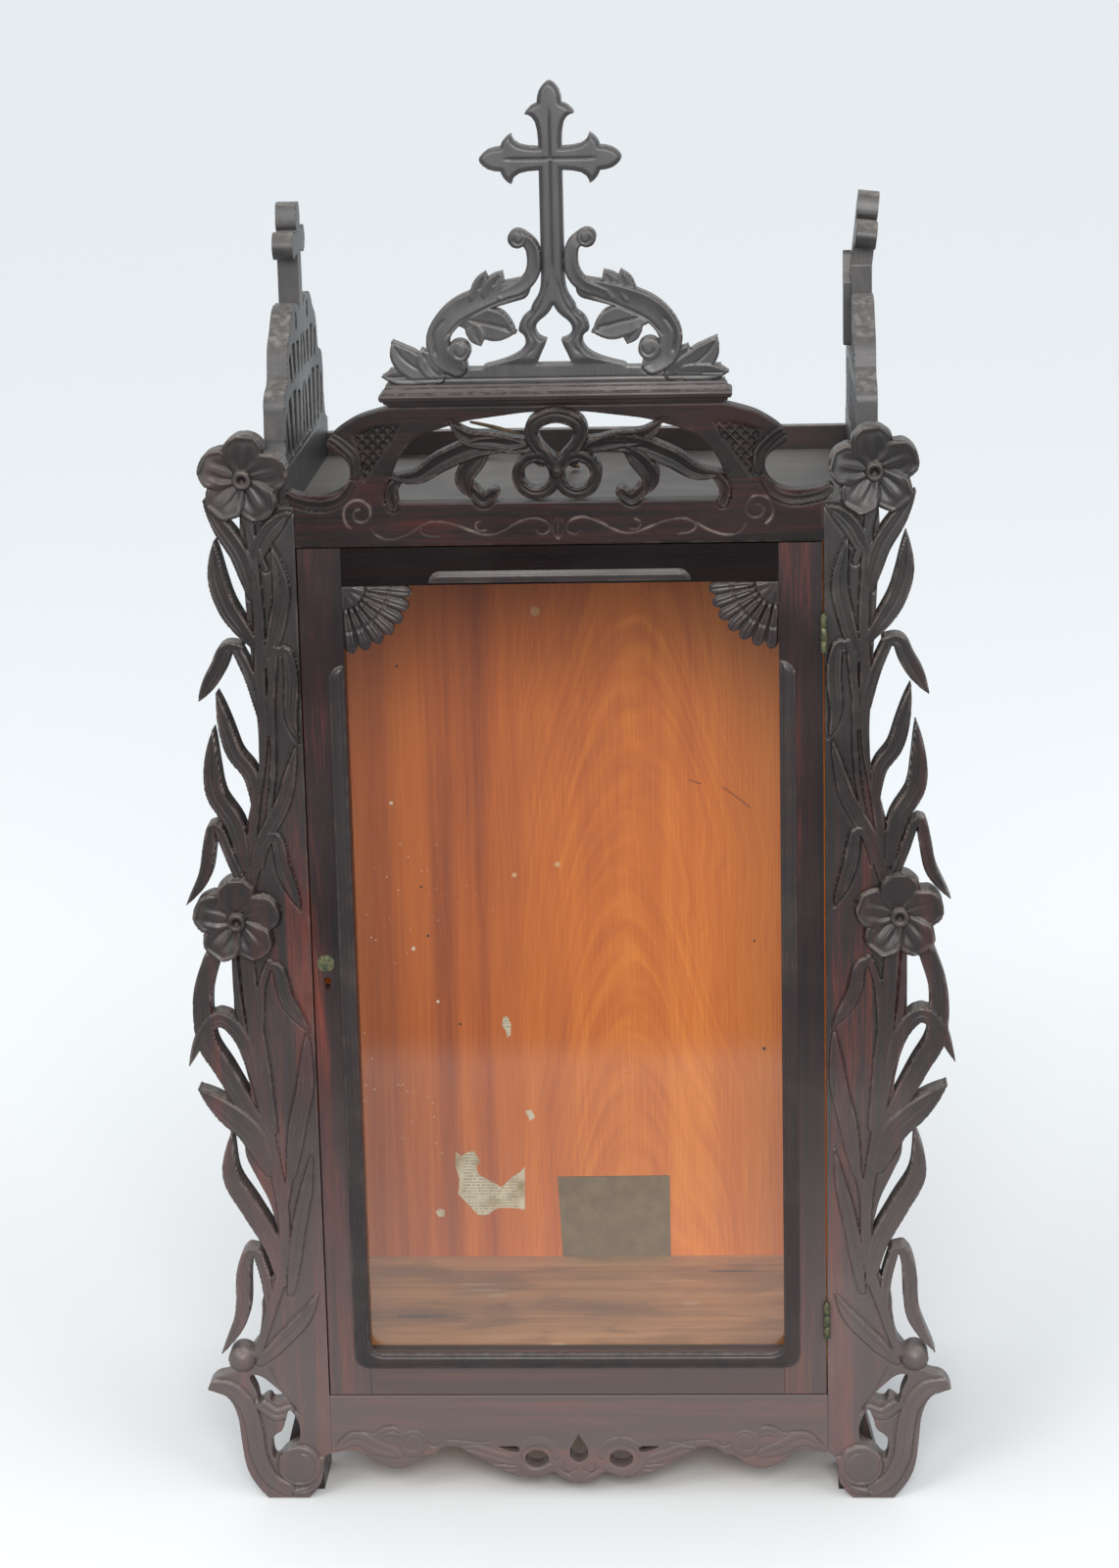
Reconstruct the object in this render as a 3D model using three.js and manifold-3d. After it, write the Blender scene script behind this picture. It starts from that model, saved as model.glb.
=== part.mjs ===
import * as THREE from "three";
import { mergeVertices } from "three/addons/utils/BufferGeometryUtils.js";
import Module from "manifold-3d";

const wasm = await Module();
wasm.setup();

// A carved house shrine: a glazed cupboard on scroll feet. Millimetres, +Z up, front towards -Y.

// Case
const CASE_DEPTH = 400;
const FRONT_BOARD = 20;
const SIDE_BOARD = 20;
const SIDE_SETBACK = 10.5;
const TOP_BOARD = 20;
const TOP_BOARD_RISE = 3;
const FLOOR_BOARD = 18;
const FLOOR_HEIGHT = 97;
const BACK_PANEL = 12;
const BACK_PANEL_BOTTOM = 60;
const BACK_RAIL_HEIGHT = 23;
const BACK_RAIL_THICKNESS = 15;
const JOINT_GAP = 0.3;
const CUT_MARGIN = 1;

// Side panels' feet
const SIDE_FRONT_FOOT = 84;
const SIDE_REAR_FOOT = 78;
const SIDE_FOOT_HEIGHT = 52;
const SIDE_FLARE = 23;
const SIDE_FLARE_TOP = 95;
const SIDE_FLARE_DEPTH = 30;

// Door
const DOOR_WIDTH = 480;
const DOOR_HEIGHT = 833.5;
const DOOR_BOTTOM = 109;
const DOOR_THICKNESS = 20;
const DOOR_GAP = 1.5;
const STILE_WIDTH = 40;
const TOP_RAIL_WIDTH = 35;
const BOTTOM_RAIL_WIDTH = 43;
const GLASS_THICKNESS = 3;
const GLASS_IN_GROOVE = 6;
const GLASS_SETBACK = 9;
const GROOVE_CLEARANCE = 0.3;
const BEAD_WIDTH = 15;
const BEAD_RISE = 3.2;
const BEAD_TOP_DROP = 92;
const BEAD_TOP_LENGTH = 240;
const BEAD_RETURN = 14;
const FAN_REACH = 64;
const FAN_BOSS = 21;
const FAN_THICKNESS = 7;
const FAN_RAYS = 7;

// Lock
const KEYHOLE_HEIGHT = 529.5;
const KEYHOLE_INSET = 13;
const KEYHOLE_HEAD_RADIUS = 3.5;
const KEYHOLE_SLOT_WIDTH = 4.6;
const KEYHOLE_SLOT_LENGTH = 9.5;
const STUD_RADIUS = 8.5;
const STUD_RISE = 2;
const STUD_ABOVE_KEYHOLE = 17;

// Hinges
const HINGE_HEIGHT = 36;
const HINGE_FROM_TOP = 84;
const HINGE_FROM_BOTTOM = 77;
const HINGE_LEAF = 1.4;
const HINGE_LEAF_DEPTH = 15;
const LEAF_CLEARANCE = 0.35;
const KNUCKLE_RADIUS = 3.2;
const KNUCKLE_BORE = 2;
const PIN_RADIUS = 1.5;
const KNUCKLE_COUNT = 3;
const KNUCKLE_SIDES = 8;

// Front carving
const CARVING_RISE = 14;
const LEAF_RISE = 4;
const LEAF_BACK_SETBACK = 2;
const WING_REACH = 118.5;
const FLOWER_RADIUS = 42;
const FLOWER_BUD = 8.5;
const FLOWER_PETALS = 5;
const PETAL_RISE = 11;

// Frieze, cornice and cross crest
const FRIEZE_RAIL = 39.5;
const ARCH_HEIGHT = 88;
const ARCH_HALF_SPAN = 158;
const ARCH_TOP_HALF_WIDTH = 151;
const CORNICE_HEIGHT = 20;
const CORNICE_OVERHANG = 8.5;
const CREST_HEIGHT = 267.4;
const CREST_THICKNESS = 18;
const CREST_PLATE_HEIGHT = 13;
const CREST_PLATE_HALF_WIDTH = 150;

// Side crests
const SIDE_CREST_HEIGHT = 272;
const SIDE_CREST_INSET = 1.85;
const RIGHT_OVERHANG = 20;
const BROKEN_CROSS_LEAN = THREE.MathUtils.degToRad(6.4);

// Apron
const APRON_LOWER_EDGE = 55;

// Things left inside
const PAPER_THICKNESS = 0.8;
const CARD_THICKNESS = 2;
const CARD_WIDTH = 119;
const CARD_HEIGHT = 90;
const CARD_LEFT = -36;

// Levels and faces that follow from the sizes above
const frontY = -(CASE_DEPTH - CARVING_RISE) / 2;
const behindFront = frontY + FRONT_BOARD + JOINT_GAP;
const backY = frontY + CASE_DEPTH;
const postInner = DOOR_WIDTH / 2 + DOOR_GAP;
const sideInner = postInner + SIDE_SETBACK;
const sideOuter = sideInner + SIDE_BOARD;
const topRight = sideOuter + RIGHT_OVERHANG;
const doorTop = DOOR_BOTTOM + DOOR_HEIGHT;
const apronTop = DOOR_BOTTOM - DOOR_GAP;
const friezeBottom = doorTop + DOOR_GAP;
const railTop = friezeBottom + FRIEZE_RAIL;
const postTop = railTop - 2;
const archTop = railTop + ARCH_HEIGHT;
const topBoardUnder = doorTop + TOP_BOARD_RISE;
const topBoardUpper = topBoardUnder + TOP_BOARD;
const sightHalf = DOOR_WIDTH / 2 - STILE_WIDTH;
const sightBottom = DOOR_BOTTOM + BOTTOM_RAIL_WIDTH;
const sightTop = doorTop - TOP_RAIL_WIDTH;

// The carving was drawn for a post 981.5 high and a wing 118.5 wide, and follows both.
const DRAWN_POST_TOP = 981.5;
const DRAWN_WING_REACH = 118.5;
const DRAWN_FRIEZE_HALF = 241.5;
const DRAWN_ARCH_HEIGHT = 88;
const DRAWN_CREST_HEIGHT = 267.4;
const DRAWN_SIDE_CREST_HEIGHT = 275;

// A closed three.js geometry as a solid that can be joined and cut
function solidOf(geometry) {
  const bare = geometry.clone();
  bare.deleteAttribute("normal");
  bare.deleteAttribute("uv");
  const merged = mergeVertices(bare, 1e-4);
  const corners = merged.index.array;
  const triVerts = [];
  for (let i = 0; i < corners.length; i += 3) {
    const [a, b, c] = [corners[i], corners[i + 1], corners[i + 2]];
    if (a !== b && b !== c && c !== a) {
      triVerts.push(a, b, c);
    }
  }
  const mesh = new wasm.Mesh({
    numProp: 3,
    vertProperties: Float32Array.from(merged.attributes.position.array),
    triVerts: Uint32Array.from(triVerts),
  });
  return new wasm.Manifold(mesh);
}

function geometryOf(solid) {
  const mesh = solid.getMesh();
  const geometry = new THREE.BufferGeometry();
  geometry.setAttribute("position", new THREE.BufferAttribute(mesh.vertProperties, 3));
  geometry.setIndex(new THREE.BufferAttribute(mesh.triVerts, 1));
  geometry.computeVertexNormals();
  return geometry;
}

function join(geometries) {
  const solids = geometries.map(solidOf);
  return geometryOf(solids.reduce((sum, solid) => sum.add(solid)));
}

function cut(geometry, tools) {
  const solids = tools.map(solidOf);
  return geometryOf(solids.reduce((rest, tool) => rest.subtract(tool), solidOf(geometry)));
}

function block(x0, x1, y0, y1, z0, z1) {
  const geometry = new THREE.BoxGeometry(x1 - x0, y1 - y0, z1 - z0);
  return geometry.translate((x0 + x1) / 2, (y0 + y1) / 2, (z0 + z1) / 2);
}

function vectors(points) {
  return points.map(([a, b]) => new THREE.Vector2(a, b));
}

function plate(outline, thickness) {
  return new THREE.ExtrudeGeometry(new THREE.Shape(vectors(outline)), { depth: thickness, bevelEnabled: false });
}

function slab(outline, thickness, holes) {
  const whole = plate(outline, thickness);
  const tools = holes.map((hole) => plate(hole, thickness + 2 * CUT_MARGIN).translate(0, 0, -CUT_MARGIN));
  return tools.length > 0 ? cut(whole, tools) : whole;
}

// A board drawn in X and Z, with its front at a given Y
function frontBoard(outline, front, thickness, holes = []) {
  return slab(outline, thickness, holes).rotateX(Math.PI / 2).translate(0, front + thickness, 0);
}

// A board drawn in Y and Z, with its left face at a given X
function sideBoard(outline, left, thickness, holes = []) {
  const turn = new THREE.Matrix4().set(0, 0, 1, 0, 1, 0, 0, 0, 0, 1, 0, 0, 0, 0, 0, 1);
  return slab(outline, thickness, holes).applyMatrix4(turn).translate(left, 0, 0);
}

function mirrored(points) {
  return points.map(([a, b]) => [-a, b]);
}

// One half of a symmetric outline and its mirror image, joined into a whole outline
function bothHalves(half) {
  return [...half, ...mirrored(half).reverse()];
}

function arc(centre, radius, startDegrees, endDegrees, steps) {
  return Array.from({ length: steps + 1 }, (_, i) => {
    const angle = THREE.MathUtils.degToRad(startDegrees + ((endDegrees - startDegrees) * i) / steps);
    return [centre[0] + radius * Math.cos(angle), centre[1] + radius * Math.sin(angle)];
  });
}

// A closed body through rings that all have as many points, with flat ends
function loft(rings) {
  const count = rings[0].length;
  const index = [];
  for (let r = 0; r + 1 < rings.length; r += 1) {
    for (let i = 0; i < count; i += 1) {
      const a = r * count + i;
      const b = r * count + ((i + 1) % count);
      index.push(a, b, b + count, a, b + count, a + count);
    }
  }
  const last = (rings.length - 1) * count;
  for (let i = 1; i + 1 < count; i += 1) {
    index.push(0, i + 1, i, last, last + i, last + i + 1);
  }
  const position = rings.flat(2);
  if (enclosedVolume(position, index) < 0) {
    index.reverse();
  }
  const geometry = new THREE.BufferGeometry();
  geometry.setAttribute("position", new THREE.Float32BufferAttribute(position, 3));
  geometry.setIndex(index);
  return geometry;
}

function enclosedVolume(position, index) {
  const corner = (i) => new THREE.Vector3().fromArray(position, index[i] * 3);
  let volume = 0;
  for (let i = 0; i < index.length; i += 3) {
    volume += corner(i).dot(corner(i + 1).cross(corner(i + 2))) / 6;
  }
  return volume;
}

// How wide a blade, a ribbon and a petal are along their length, as a share of their width
const WIDTHS = {
  blade: (t) => (t < 0.4 ? 0.55 + 1.125 * t : Math.max(0.05, ((1 - t) / 0.6) ** 0.75)),
  ribbon: (t) => 1 - 0.25 * Math.abs(2 * t - 1),
  petal: (t) => 0.3 + 0.7 * Math.sin(Math.PI * Math.min(1, 0.05 + 0.87 * t)) ** 0.8,
};

// A carved strip that follows a spine in X and Z: a crowned face and, where it stands free, a flat back
function strip(spine, width, kind, face) {
  const stations = face.stations ?? 4;
  const curve = new THREE.SplineCurve(vectors(spine));
  const rings = [];
  for (let s = 0; s < stations; s += 1) {
    const t = s / (stations - 1);
    const point = curve.getPointAt(t);
    const along = curve.getTangentAt(t);
    const half = (width / 2) * WIDTHS[kind](t);
    const left = [point.x - along.y * half, point.y + along.x * half];
    const right = [point.x + along.y * half, point.y - along.x * half];
    const crown = face.front - face.rise * (0.35 + 0.65 * WIDTHS[kind](t));
    const ring = [
      [left[0], face.front, left[1]],
      [point.x, crown, point.y],
      [right[0], face.front, right[1]],
    ];
    if (face.back !== undefined) {
      ring.push([right[0], face.back, right[1]], [left[0], face.back, left[1]]);
    }
    rings.push(ring);
  }
  return loft(rings);
}

// Faces of carved strips: standing free of the board, or raised on it
const freeFace = { front: frontY + 1, back: frontY + FRONT_BOARD - LEAF_BACK_SETBACK, rise: LEAF_RISE };
const longFace = { ...freeFace, stations: 5 };
const raisedFace = { front: frontY + 1, rise: LEAF_RISE + 1, stations: 4 };
const shortFace = { ...raisedFace, stations: 3 };

function disc(x, z, radius, front, back, sides) {
  return new THREE.CylinderGeometry(radius, radius, back - front, sides).translate(x, (front + back) / 2, z);
}

function flower(x, z, firstPetal) {
  const back = frontY - JOINT_GAP;
  const pieces = [disc(x, z, FLOWER_BUD + 3, frontY - CARVING_RISE + 3.5, back, 8)];
  for (let i = 0; i < FLOWER_PETALS; i += 1) {
    const angle = THREE.MathUtils.degToRad(firstPetal + (360 / FLOWER_PETALS) * i);
    const reach = (share) => [
      x + Math.cos(angle) * FLOWER_RADIUS * share,
      z + Math.sin(angle) * FLOWER_RADIUS * share,
    ];
    const spine = [reach(0.1), reach(0.5), reach(1)];
    const petalWidth = 2 * FLOWER_RADIUS * 0.8 * Math.sin(Math.PI / FLOWER_PETALS);
    pieces.push(strip(spine, petalWidth, "petal", { front: back, rise: PETAL_RISE, stations: 4 }));
  }
  const bud = new THREE.LatheGeometry(vectors([[0, 0], [FLOWER_BUD, 0], [FLOWER_BUD - 1, 7], [6, 8], [0, 4]]), 7);
  pieces.push(bud.rotateX(Math.PI).translate(x, frontY - CARVING_RISE + 8, z));
  return pieces;
}

// Wing outline: distance out from the door opening, and height
const POST_OUTLINE = [
  [0, 981.5], [0, 47], [6.5, 44], [9.5, 34], [9.5, 22], [13.5, 11], [23.5, 0], [63.5, 0], [71.5, 9],
  [79, 20], [84.5, 34], [87.5, 59], [89.5, 86], [96.5, 104], [108.5, 111], [118.5, 114], [115.5, 122],
  [108.5, 128], [100, 129], [88, 134], [73, 158], [65.5, 167], [61.5, 195], [62, 208], [46, 240],
  [42.5, 253], [42.5, 277], [49.5, 308], [58.5, 327], [72.5, 357], [62.5, 421], [69.5, 454],
  [75.5, 493], [75.5, 560], [58.5, 640], [58.5, 669], [52.5, 695], [41.5, 734], [40.5, 770],
  [47.5, 890], [50.5, 957], [48, 1000], [35, 1004], [22, 981.5],
];
const UPPER_FOOT_HOLE = [
  [78.5, 127], [72.5, 130], [63.5, 127], [46.5, 111], [42.5, 103], [55.5, 99], [58.5, 106], [63.5, 104],
  [69.5, 98], [70.5, 111],
];
const LOWER_FOOT_HOLE = [
  [43.5, 84], [46.5, 71], [52.5, 68], [58.5, 62], [58.5, 46], [55, 38], [44, 52], [30.5, 57], [29.5, 76],
  [39, 96],
];

// Free leaves at the outer edge, as spine and width: the last point is the tip
const OUTER_BLADES = [
  [[[41, 900], [50, 935], [68, 965], [82.5, 988]], 18],
  [[[42, 855], [63, 885], [73, 915], [74.5, 950]], 18],
  [[[56, 851], [68, 849], [76, 832], [95, 801]], 15],
  [[[46, 700], [50, 730], [66, 755], [78.5, 808]], 15],
  [[[59, 640], [66, 680], [83, 710], [86, 740], [83.5, 773]], 18],
  [[[80, 676], [88, 680], [92, 660], [98, 632], [115.5, 605]], 12],
  [[[48, 340], [63, 375], [83, 395], [112.5, 422]], 24],
  [[[41, 225], [48, 262], [68, 300], [86, 335], [83.5, 378]], 19],
  [[[62, 254], [72, 256], [78, 235], [82, 190], [102.5, 152]], 14],
];
const LONG_BLADES = [
  [[[58, 430], [68, 470], [88, 492], [106, 478], [121, 446]], 15],
];
const OUTER_STALKS = [
  [[[38, 790], [46, 822], [58, 850]], 11],
  [[[61, 622], [70, 645], [82, 678]], 10],
  [[[95, 550], [105, 515], [103, 470], [86, 438], [53, 375]], 19],
  [[[54, 190], [56, 225], [64, 256]], 10],
];
// Leaves raised on the board
const INNER_BLADES = [
  [[[38, 930], [26, 955], [12, 970], [2, 976]], 15],
  [[[30, 835], [20, 870], [14, 905], [21, 947]], 14],
  [[[22, 846], [12, 846], [8, 820], [10, 785], [4, 760]], 12],
  [[[55, 625], [40, 667], [20, 705], [6, 759]], 13],
  [[[36, 668], [28, 668], [22, 636], [8, 599]], 12],
  [[[42, 544], [32, 540], [24, 510], [5, 479]], 12],
  [[[28, 335], [20, 385], [11, 425], [7, 479]], 15],
  [[[33, 215], [23, 280], [14, 320], [7, 358]], 12],
  [[[66, 142], [43, 165], [20, 190], [7, 213]], 13],
];
const STEMS = [
  [[[68, 152], [52, 200], [40, 240], [37, 300], [48, 380], [58, 480], [64, 560]], 12],
  [[[56, 630], [47, 700], [38, 760], [37, 830], [36, 880], [42, 985]], 11],
];
const SHORT_STEMS = [
  [[[31, 770], [26, 820], [22, 850]], 8],
  [[[53, 622], [45, 650], [34, 672]], 8],
  [[[51, 480], [49, 520], [40, 548]], 8],
];
const FLOWERS = [[[45.5, 1008], 95], [[68.5, 589], 90]];
const BALL = [[83.5, 146], 13];
const FOOT_VOLUTE = [[31.5, 34], 21.5];

function frontPost(side) {
  const place = ([u, z]) => [
    side * (postInner + (u * WING_REACH) / DRAWN_WING_REACH),
    (z * postTop) / DRAWN_POST_TOP,
  ];
  const carve = (list, kind, face) => list.map(([spine, width]) => strip(spine.map(place), width, kind, face));
  const holes = [UPPER_FOOT_HOLE, LOWER_FOOT_HOLE].map((hole) => hole.map(place));
  const [ballX, ballZ] = place(BALL[0]);
  const [voluteX, voluteZ] = place(FOOT_VOLUTE[0]);
  const carving = [
    frontBoard(POST_OUTLINE.map(place), frontY, FRONT_BOARD, holes),
    ...carve(OUTER_BLADES, "blade", freeFace),
    ...carve(LONG_BLADES, "blade", longFace),
    ...carve(OUTER_STALKS, "ribbon", longFace),
    ...carve(INNER_BLADES, "blade", raisedFace),
    ...carve(STEMS, "ribbon", raisedFace),
    ...carve(SHORT_STEMS, "ribbon", shortFace),
    ...FLOWERS.flatMap(([centre, firstPetal]) => {
      const [x, z] = place(centre);
      return [...flower(x, z, firstPetal), disc(x, z, 19, frontY - 6, frontY + FRONT_BOARD, 6)];
    }),
    new THREE.SphereGeometry(BALL[1], 7, 4).translate(ballX, frontY + 8, ballZ),
    disc(voluteX, voluteZ, FOOT_VOLUTE[1], frontY - 3, frontY + 1, 12),
    disc(voluteX - side * 2, voluteZ, 9, frontY - 5, frontY, 8),
  ];
  const inMortise = side > 0 ? hingeMortises(postInner, 1) : [];
  return cut(join(carving), inMortise);
}

// Hinges: the axis stands just in front of the gap between door and post
const hingeX = DOOR_WIDTH / 2 + DOOR_GAP / 2;
const hingeY = frontY - KNUCKLE_RADIUS - JOINT_GAP;
const hingeCentres = {
  upper: doorTop - HINGE_FROM_TOP,
  lower: DOOR_BOTTOM + HINGE_FROM_BOTTOM,
};

function hingeMortises(edgeX, direction) {
  return Object.values(hingeCentres).map((z) => {
    const bottom = edgeX + direction * (HINGE_LEAF - DOOR_GAP / 2 + 2 * LEAF_CLEARANCE);
    const open = edgeX - direction * DOOR_GAP;
    const half = HINGE_HEIGHT / 2 + LEAF_CLEARANCE;
    const deep = hingeY + HINGE_LEAF_DEPTH + LEAF_CLEARANCE;
    return block(Math.min(bottom, open), Math.max(bottom, open), frontY - 6, deep, z - half, z + half);
  });
}

function knuckle(bottom, height) {
  const profile = [
    [KNUCKLE_BORE, 0], [KNUCKLE_RADIUS, 0], [KNUCKLE_RADIUS, height], [KNUCKLE_BORE, height], [KNUCKLE_BORE, 0],
  ];
  return new THREE.LatheGeometry(vectors(profile), KNUCKLE_SIDES)
    .rotateX(Math.PI / 2)
    .translate(hingeX, hingeY, bottom);
}

function hingeLeaf(centreZ, direction) {
  const near = hingeX + direction * LEAF_CLEARANCE;
  const far = near + direction * HINGE_LEAF;
  const step = HINGE_HEIGHT / KNUCKLE_COUNT;
  const bottom = centreZ - HINGE_HEIGHT / 2;
  const start = hingeY + (KNUCKLE_BORE + KNUCKLE_RADIUS) / 2 - 0.35;
  const plateStart = hingeY + KNUCKLE_RADIUS + JOINT_GAP;
  const [left, right] = [Math.min(near, far), Math.max(near, far)];
  const pieces = [
    block(left, right, plateStart, hingeY + HINGE_LEAF_DEPTH, bottom, bottom + HINGE_HEIGHT),
  ];
  for (let i = 0; i < KNUCKLE_COUNT; i += 1) {
    const onPost = i % 2 === 0;
    if (onPost === direction > 0) {
      const low = bottom + i * step + JOINT_GAP / 2;
      const high = low + step - JOINT_GAP;
      pieces.push(knuckle(low, step - JOINT_GAP));
      pieces.push(block(left, right, start, plateStart + 1, low, high));
    }
  }
  return join(pieces);
}

function hingePin(centreZ) {
  const length = HINGE_HEIGHT + 2;
  return new THREE.CylinderGeometry(PIN_RADIUS, PIN_RADIUS, length, KNUCKLE_SIDES)
    .rotateX(Math.PI / 2)
    .translate(hingeX, hingeY, centreZ);
}

// Door
function glassGroove() {
  const reach = GLASS_IN_GROOVE + GROOVE_CLEARANCE;
  const front = frontY + GLASS_SETBACK - GROOVE_CLEARANCE;
  const back = frontY + GLASS_SETBACK + GLASS_THICKNESS + GROOVE_CLEARANCE;
  return block(-sightHalf - reach, sightHalf + reach, front, back, sightBottom - reach, sightTop + reach);
}

function doorStile(side) {
  const inner = side * sightHalf;
  const outer = (side * DOOR_WIDTH) / 2;
  const wood = block(
    Math.min(inner, outer), Math.max(inner, outer), frontY, frontY + DOOR_THICKNESS, DOOR_BOTTOM, doorTop,
  );
  const keyX = outer - side * KEYHOLE_INSET;
  const keyhole = [
    disc(keyX, KEYHOLE_HEIGHT, KEYHOLE_HEAD_RADIUS, frontY - 1, frontY + DOOR_THICKNESS + 1, 12),
    block(
      keyX - KEYHOLE_SLOT_WIDTH / 2, keyX + KEYHOLE_SLOT_WIDTH / 2, frontY - 1, frontY + DOOR_THICKNESS + 1,
      KEYHOLE_HEIGHT - KEYHOLE_SLOT_LENGTH, KEYHOLE_HEIGHT,
    ),
  ];
  const fittings = side > 0 ? hingeMortises(outer, -1) : keyhole;
  return cut(wood, [glassGroove(), ...fittings]);
}

function doorRail(bottom, top) {
  const half = sightHalf - JOINT_GAP;
  return cut(block(-half, half, frontY, frontY + DOOR_THICKNESS, bottom, top), [glassGroove()]);
}

const beadFront = frontY - JOINT_GAP - BEAD_RISE;

// The moulding that runs down both stiles and along the bottom rail
function beadSurround() {
  const outer = sightHalf + BEAD_WIDTH;
  const top = doorTop - BEAD_TOP_DROP - TOP_RAIL_WIDTH / 2;
  const low = sightBottom - BEAD_WIDTH;
  const half = [
    [0, sightBottom],
    [sightHalf - BEAD_RETURN, sightBottom],
    ...arc([sightHalf - BEAD_RETURN, sightBottom + BEAD_RETURN], BEAD_RETURN, -60, 0, 3),
    [sightHalf, top],
    ...arc([sightHalf, top - BEAD_RETURN], BEAD_WIDTH, 90, 0, 4),
    ...arc([outer - BEAD_RETURN, low + BEAD_RETURN], BEAD_RETURN, 0, -90, 4),
    [0, low],
  ];
  return frontBoard([...half.slice(0, -1), ...mirrored(half).reverse().slice(0, -1)], beadFront, BEAD_RISE);
}

function beadTop() {
  const high = sightTop + BEAD_WIDTH - 2;
  const low = sightTop + 2;
  const half = BEAD_TOP_LENGTH / 2;
  const end = [[half, low], ...arc([half - 11, high - 11], 11, 0, 90, 3)];
  return frontBoard([...end, ...mirrored(end).reverse()], beadFront, BEAD_RISE);
}

function cornerFan(side) {
  const cornerX = side * (sightHalf - JOINT_GAP);
  const cornerZ = sightTop - JOINT_GAP;
  const front = frontY + 2;
  const back = front + FAN_THICKNESS - GROOVE_CLEARANCE * 2;
  const at = (radius, degrees) => {
    const angle = THREE.MathUtils.degToRad(degrees);
    return [cornerX - side * radius * Math.cos(angle), cornerZ - radius * Math.sin(angle)];
  };
  const boss = [at(0, 0), ...Array.from({ length: 5 }, (_, i) => at(FAN_BOSS, i * 22.5))];
  const step = 90 / FAN_RAYS;
  const sheet = [at(0, 0)];
  for (let i = 0; i < FAN_RAYS; i += 1) {
    sheet.push(at(FAN_REACH - 8, i * step));
    sheet.push(at(FAN_REACH, (i + 0.3) * step));
    sheet.push(at(FAN_REACH, (i + 0.7) * step));
  }
  sheet.push(at(FAN_REACH - 8, 90));
  const rays = [];
  for (let i = 0; i < FAN_RAYS; i += 1) {
    const angle = (i + 0.5) * step;
    const spine = [at(FAN_BOSS - 0.8, angle), at(FAN_REACH - 24, angle), at(FAN_REACH - 3, angle)];
    rays.push(strip(spine, 9.5, "petal", { front: front + 0.6, rise: 2.8, stations: 3 }));
  }
  return join([frontBoard(sheet, front, back - front), frontBoard(boss, front - 3, back - front), ...rays]);
}

function stud() {
  const profile = [[0, 0], [STUD_RADIUS, 0], [STUD_RADIUS, 0.8], [STUD_RADIUS - 2.5, STUD_RISE], [0, STUD_RISE]];
  return new THREE.LatheGeometry(vectors(profile), 14)
    .rotateX(Math.PI)
    .translate(-DOOR_WIDTH / 2 + KEYHOLE_INSET - 1, frontY - JOINT_GAP, KEYHOLE_HEIGHT + STUD_ABOVE_KEYHOLE);
}

// Case boards
function sidePanel(side) {
  const left = side > 0 ? sideInner : -sideOuter;
  const top = topBoardUnder - JOINT_GAP;
  const footEnd = frontY + SIDE_FRONT_FOOT;
  const rearFoot = backY - SIDE_REAR_FOOT;
  const outline = [
    [behindFront, top], [behindFront, 0], [footEnd, 0], [footEnd, SIDE_FOOT_HEIGHT],
    [rearFoot, SIDE_FOOT_HEIGHT], [rearFoot, 0], [backY, 0], [backY, top],
  ];
  const outer = side * (sideOuter - 1);
  const flare = [
    [outer, 0], [side * (sideOuter + SIDE_FLARE), 0], [side * (sideOuter + SIDE_FLARE * 0.8), 30],
    [side * (sideOuter + 2), SIDE_FLARE_TOP], [outer, SIDE_FLARE_TOP],
  ];
  return join([
    sideBoard(outline, left, SIDE_BOARD),
    frontBoard(flare, behindFront, SIDE_FLARE_DEPTH),
  ]);
}

// Apron: half of the lower edge, from the post to the middle
const APRON_EDGE = [
  [241.2, 47], [229, 49], [217, 50], [207, 46], [187, 32], [175, 30], [163, 34], [152, 45], [142, 45],
  [132, 54], [116, 54], [104, 45], [82, 33], [68, 25], [56, 22], [44, 21], [32, 25], [24, 28], [17, 21],
  [8, 16], [0, 15],
];
const APRON_RING_HOLE = { centre: [41, 41], radii: [11.5, 9] };
const APRON_WEDGE_HOLE = [[80, 54], [58, 54], [58, 48], [67, 48]];
const APRON_DROP_HOLE = [[0, 67], [5, 58], [9.5, 49], [8, 41], [0, 36]];
const APRON_SCROLL = [[162, 57], 14];
const APRON_BLADES = [
  [[[176, 46], [196, 52], [218, 62], [238, 50]], 15],
  [[[172, 66], [184, 70], [196, 64]], 9],
  [[[62, 38], [84, 44], [100, 50], [117, 51]], 12],
];

function apron() {
  const half = postInner - JOINT_GAP;
  const wide = (x) => (x * half) / APRON_EDGE[0][0];
  const lowered = (z) => (z * APRON_LOWER_EDGE) / 55;
  const place = ([x, z]) => [wide(x), lowered(z)];
  const edge = APRON_EDGE.map(place);
  const outline = [[half, apronTop], ...edge, ...mirrored(edge.slice(0, -1)).reverse(), [-half, apronTop]];
  const ring = arc([0, 0], 1, 0, 320, 8).map(([x, z]) =>
    place([
      APRON_RING_HOLE.centre[0] + APRON_RING_HOLE.radii[0] * x,
      APRON_RING_HOLE.centre[1] + APRON_RING_HOLE.radii[1] * z,
    ]),
  );
  const wedge = APRON_WEDGE_HOLE.map(place);
  const drop = APRON_DROP_HOLE.map(place);
  const dropWhole = [...drop, ...mirrored(drop.slice(1, -1)).reverse()];
  const pieces = [
    frontBoard(outline, frontY, FRONT_BOARD, [ring, mirrored(ring), wedge, mirrored(wedge), dropWhole]),
  ];
  for (const side of [-1, 1]) {
    const [scrollX, scrollZ] = place(APRON_SCROLL[0]);
    pieces.push(disc(side * scrollX, scrollZ, APRON_SCROLL[1], frontY - 3, frontY + 1, 12));
    for (const [spine, width] of APRON_BLADES) {
      const points = spine.map(place).map(([x, z]) => [side * x, z]);
      pieces.push(strip(points, width, "blade", { ...raisedFace, rise: 4 }));
    }
  }
  return join(pieces);
}

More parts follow.
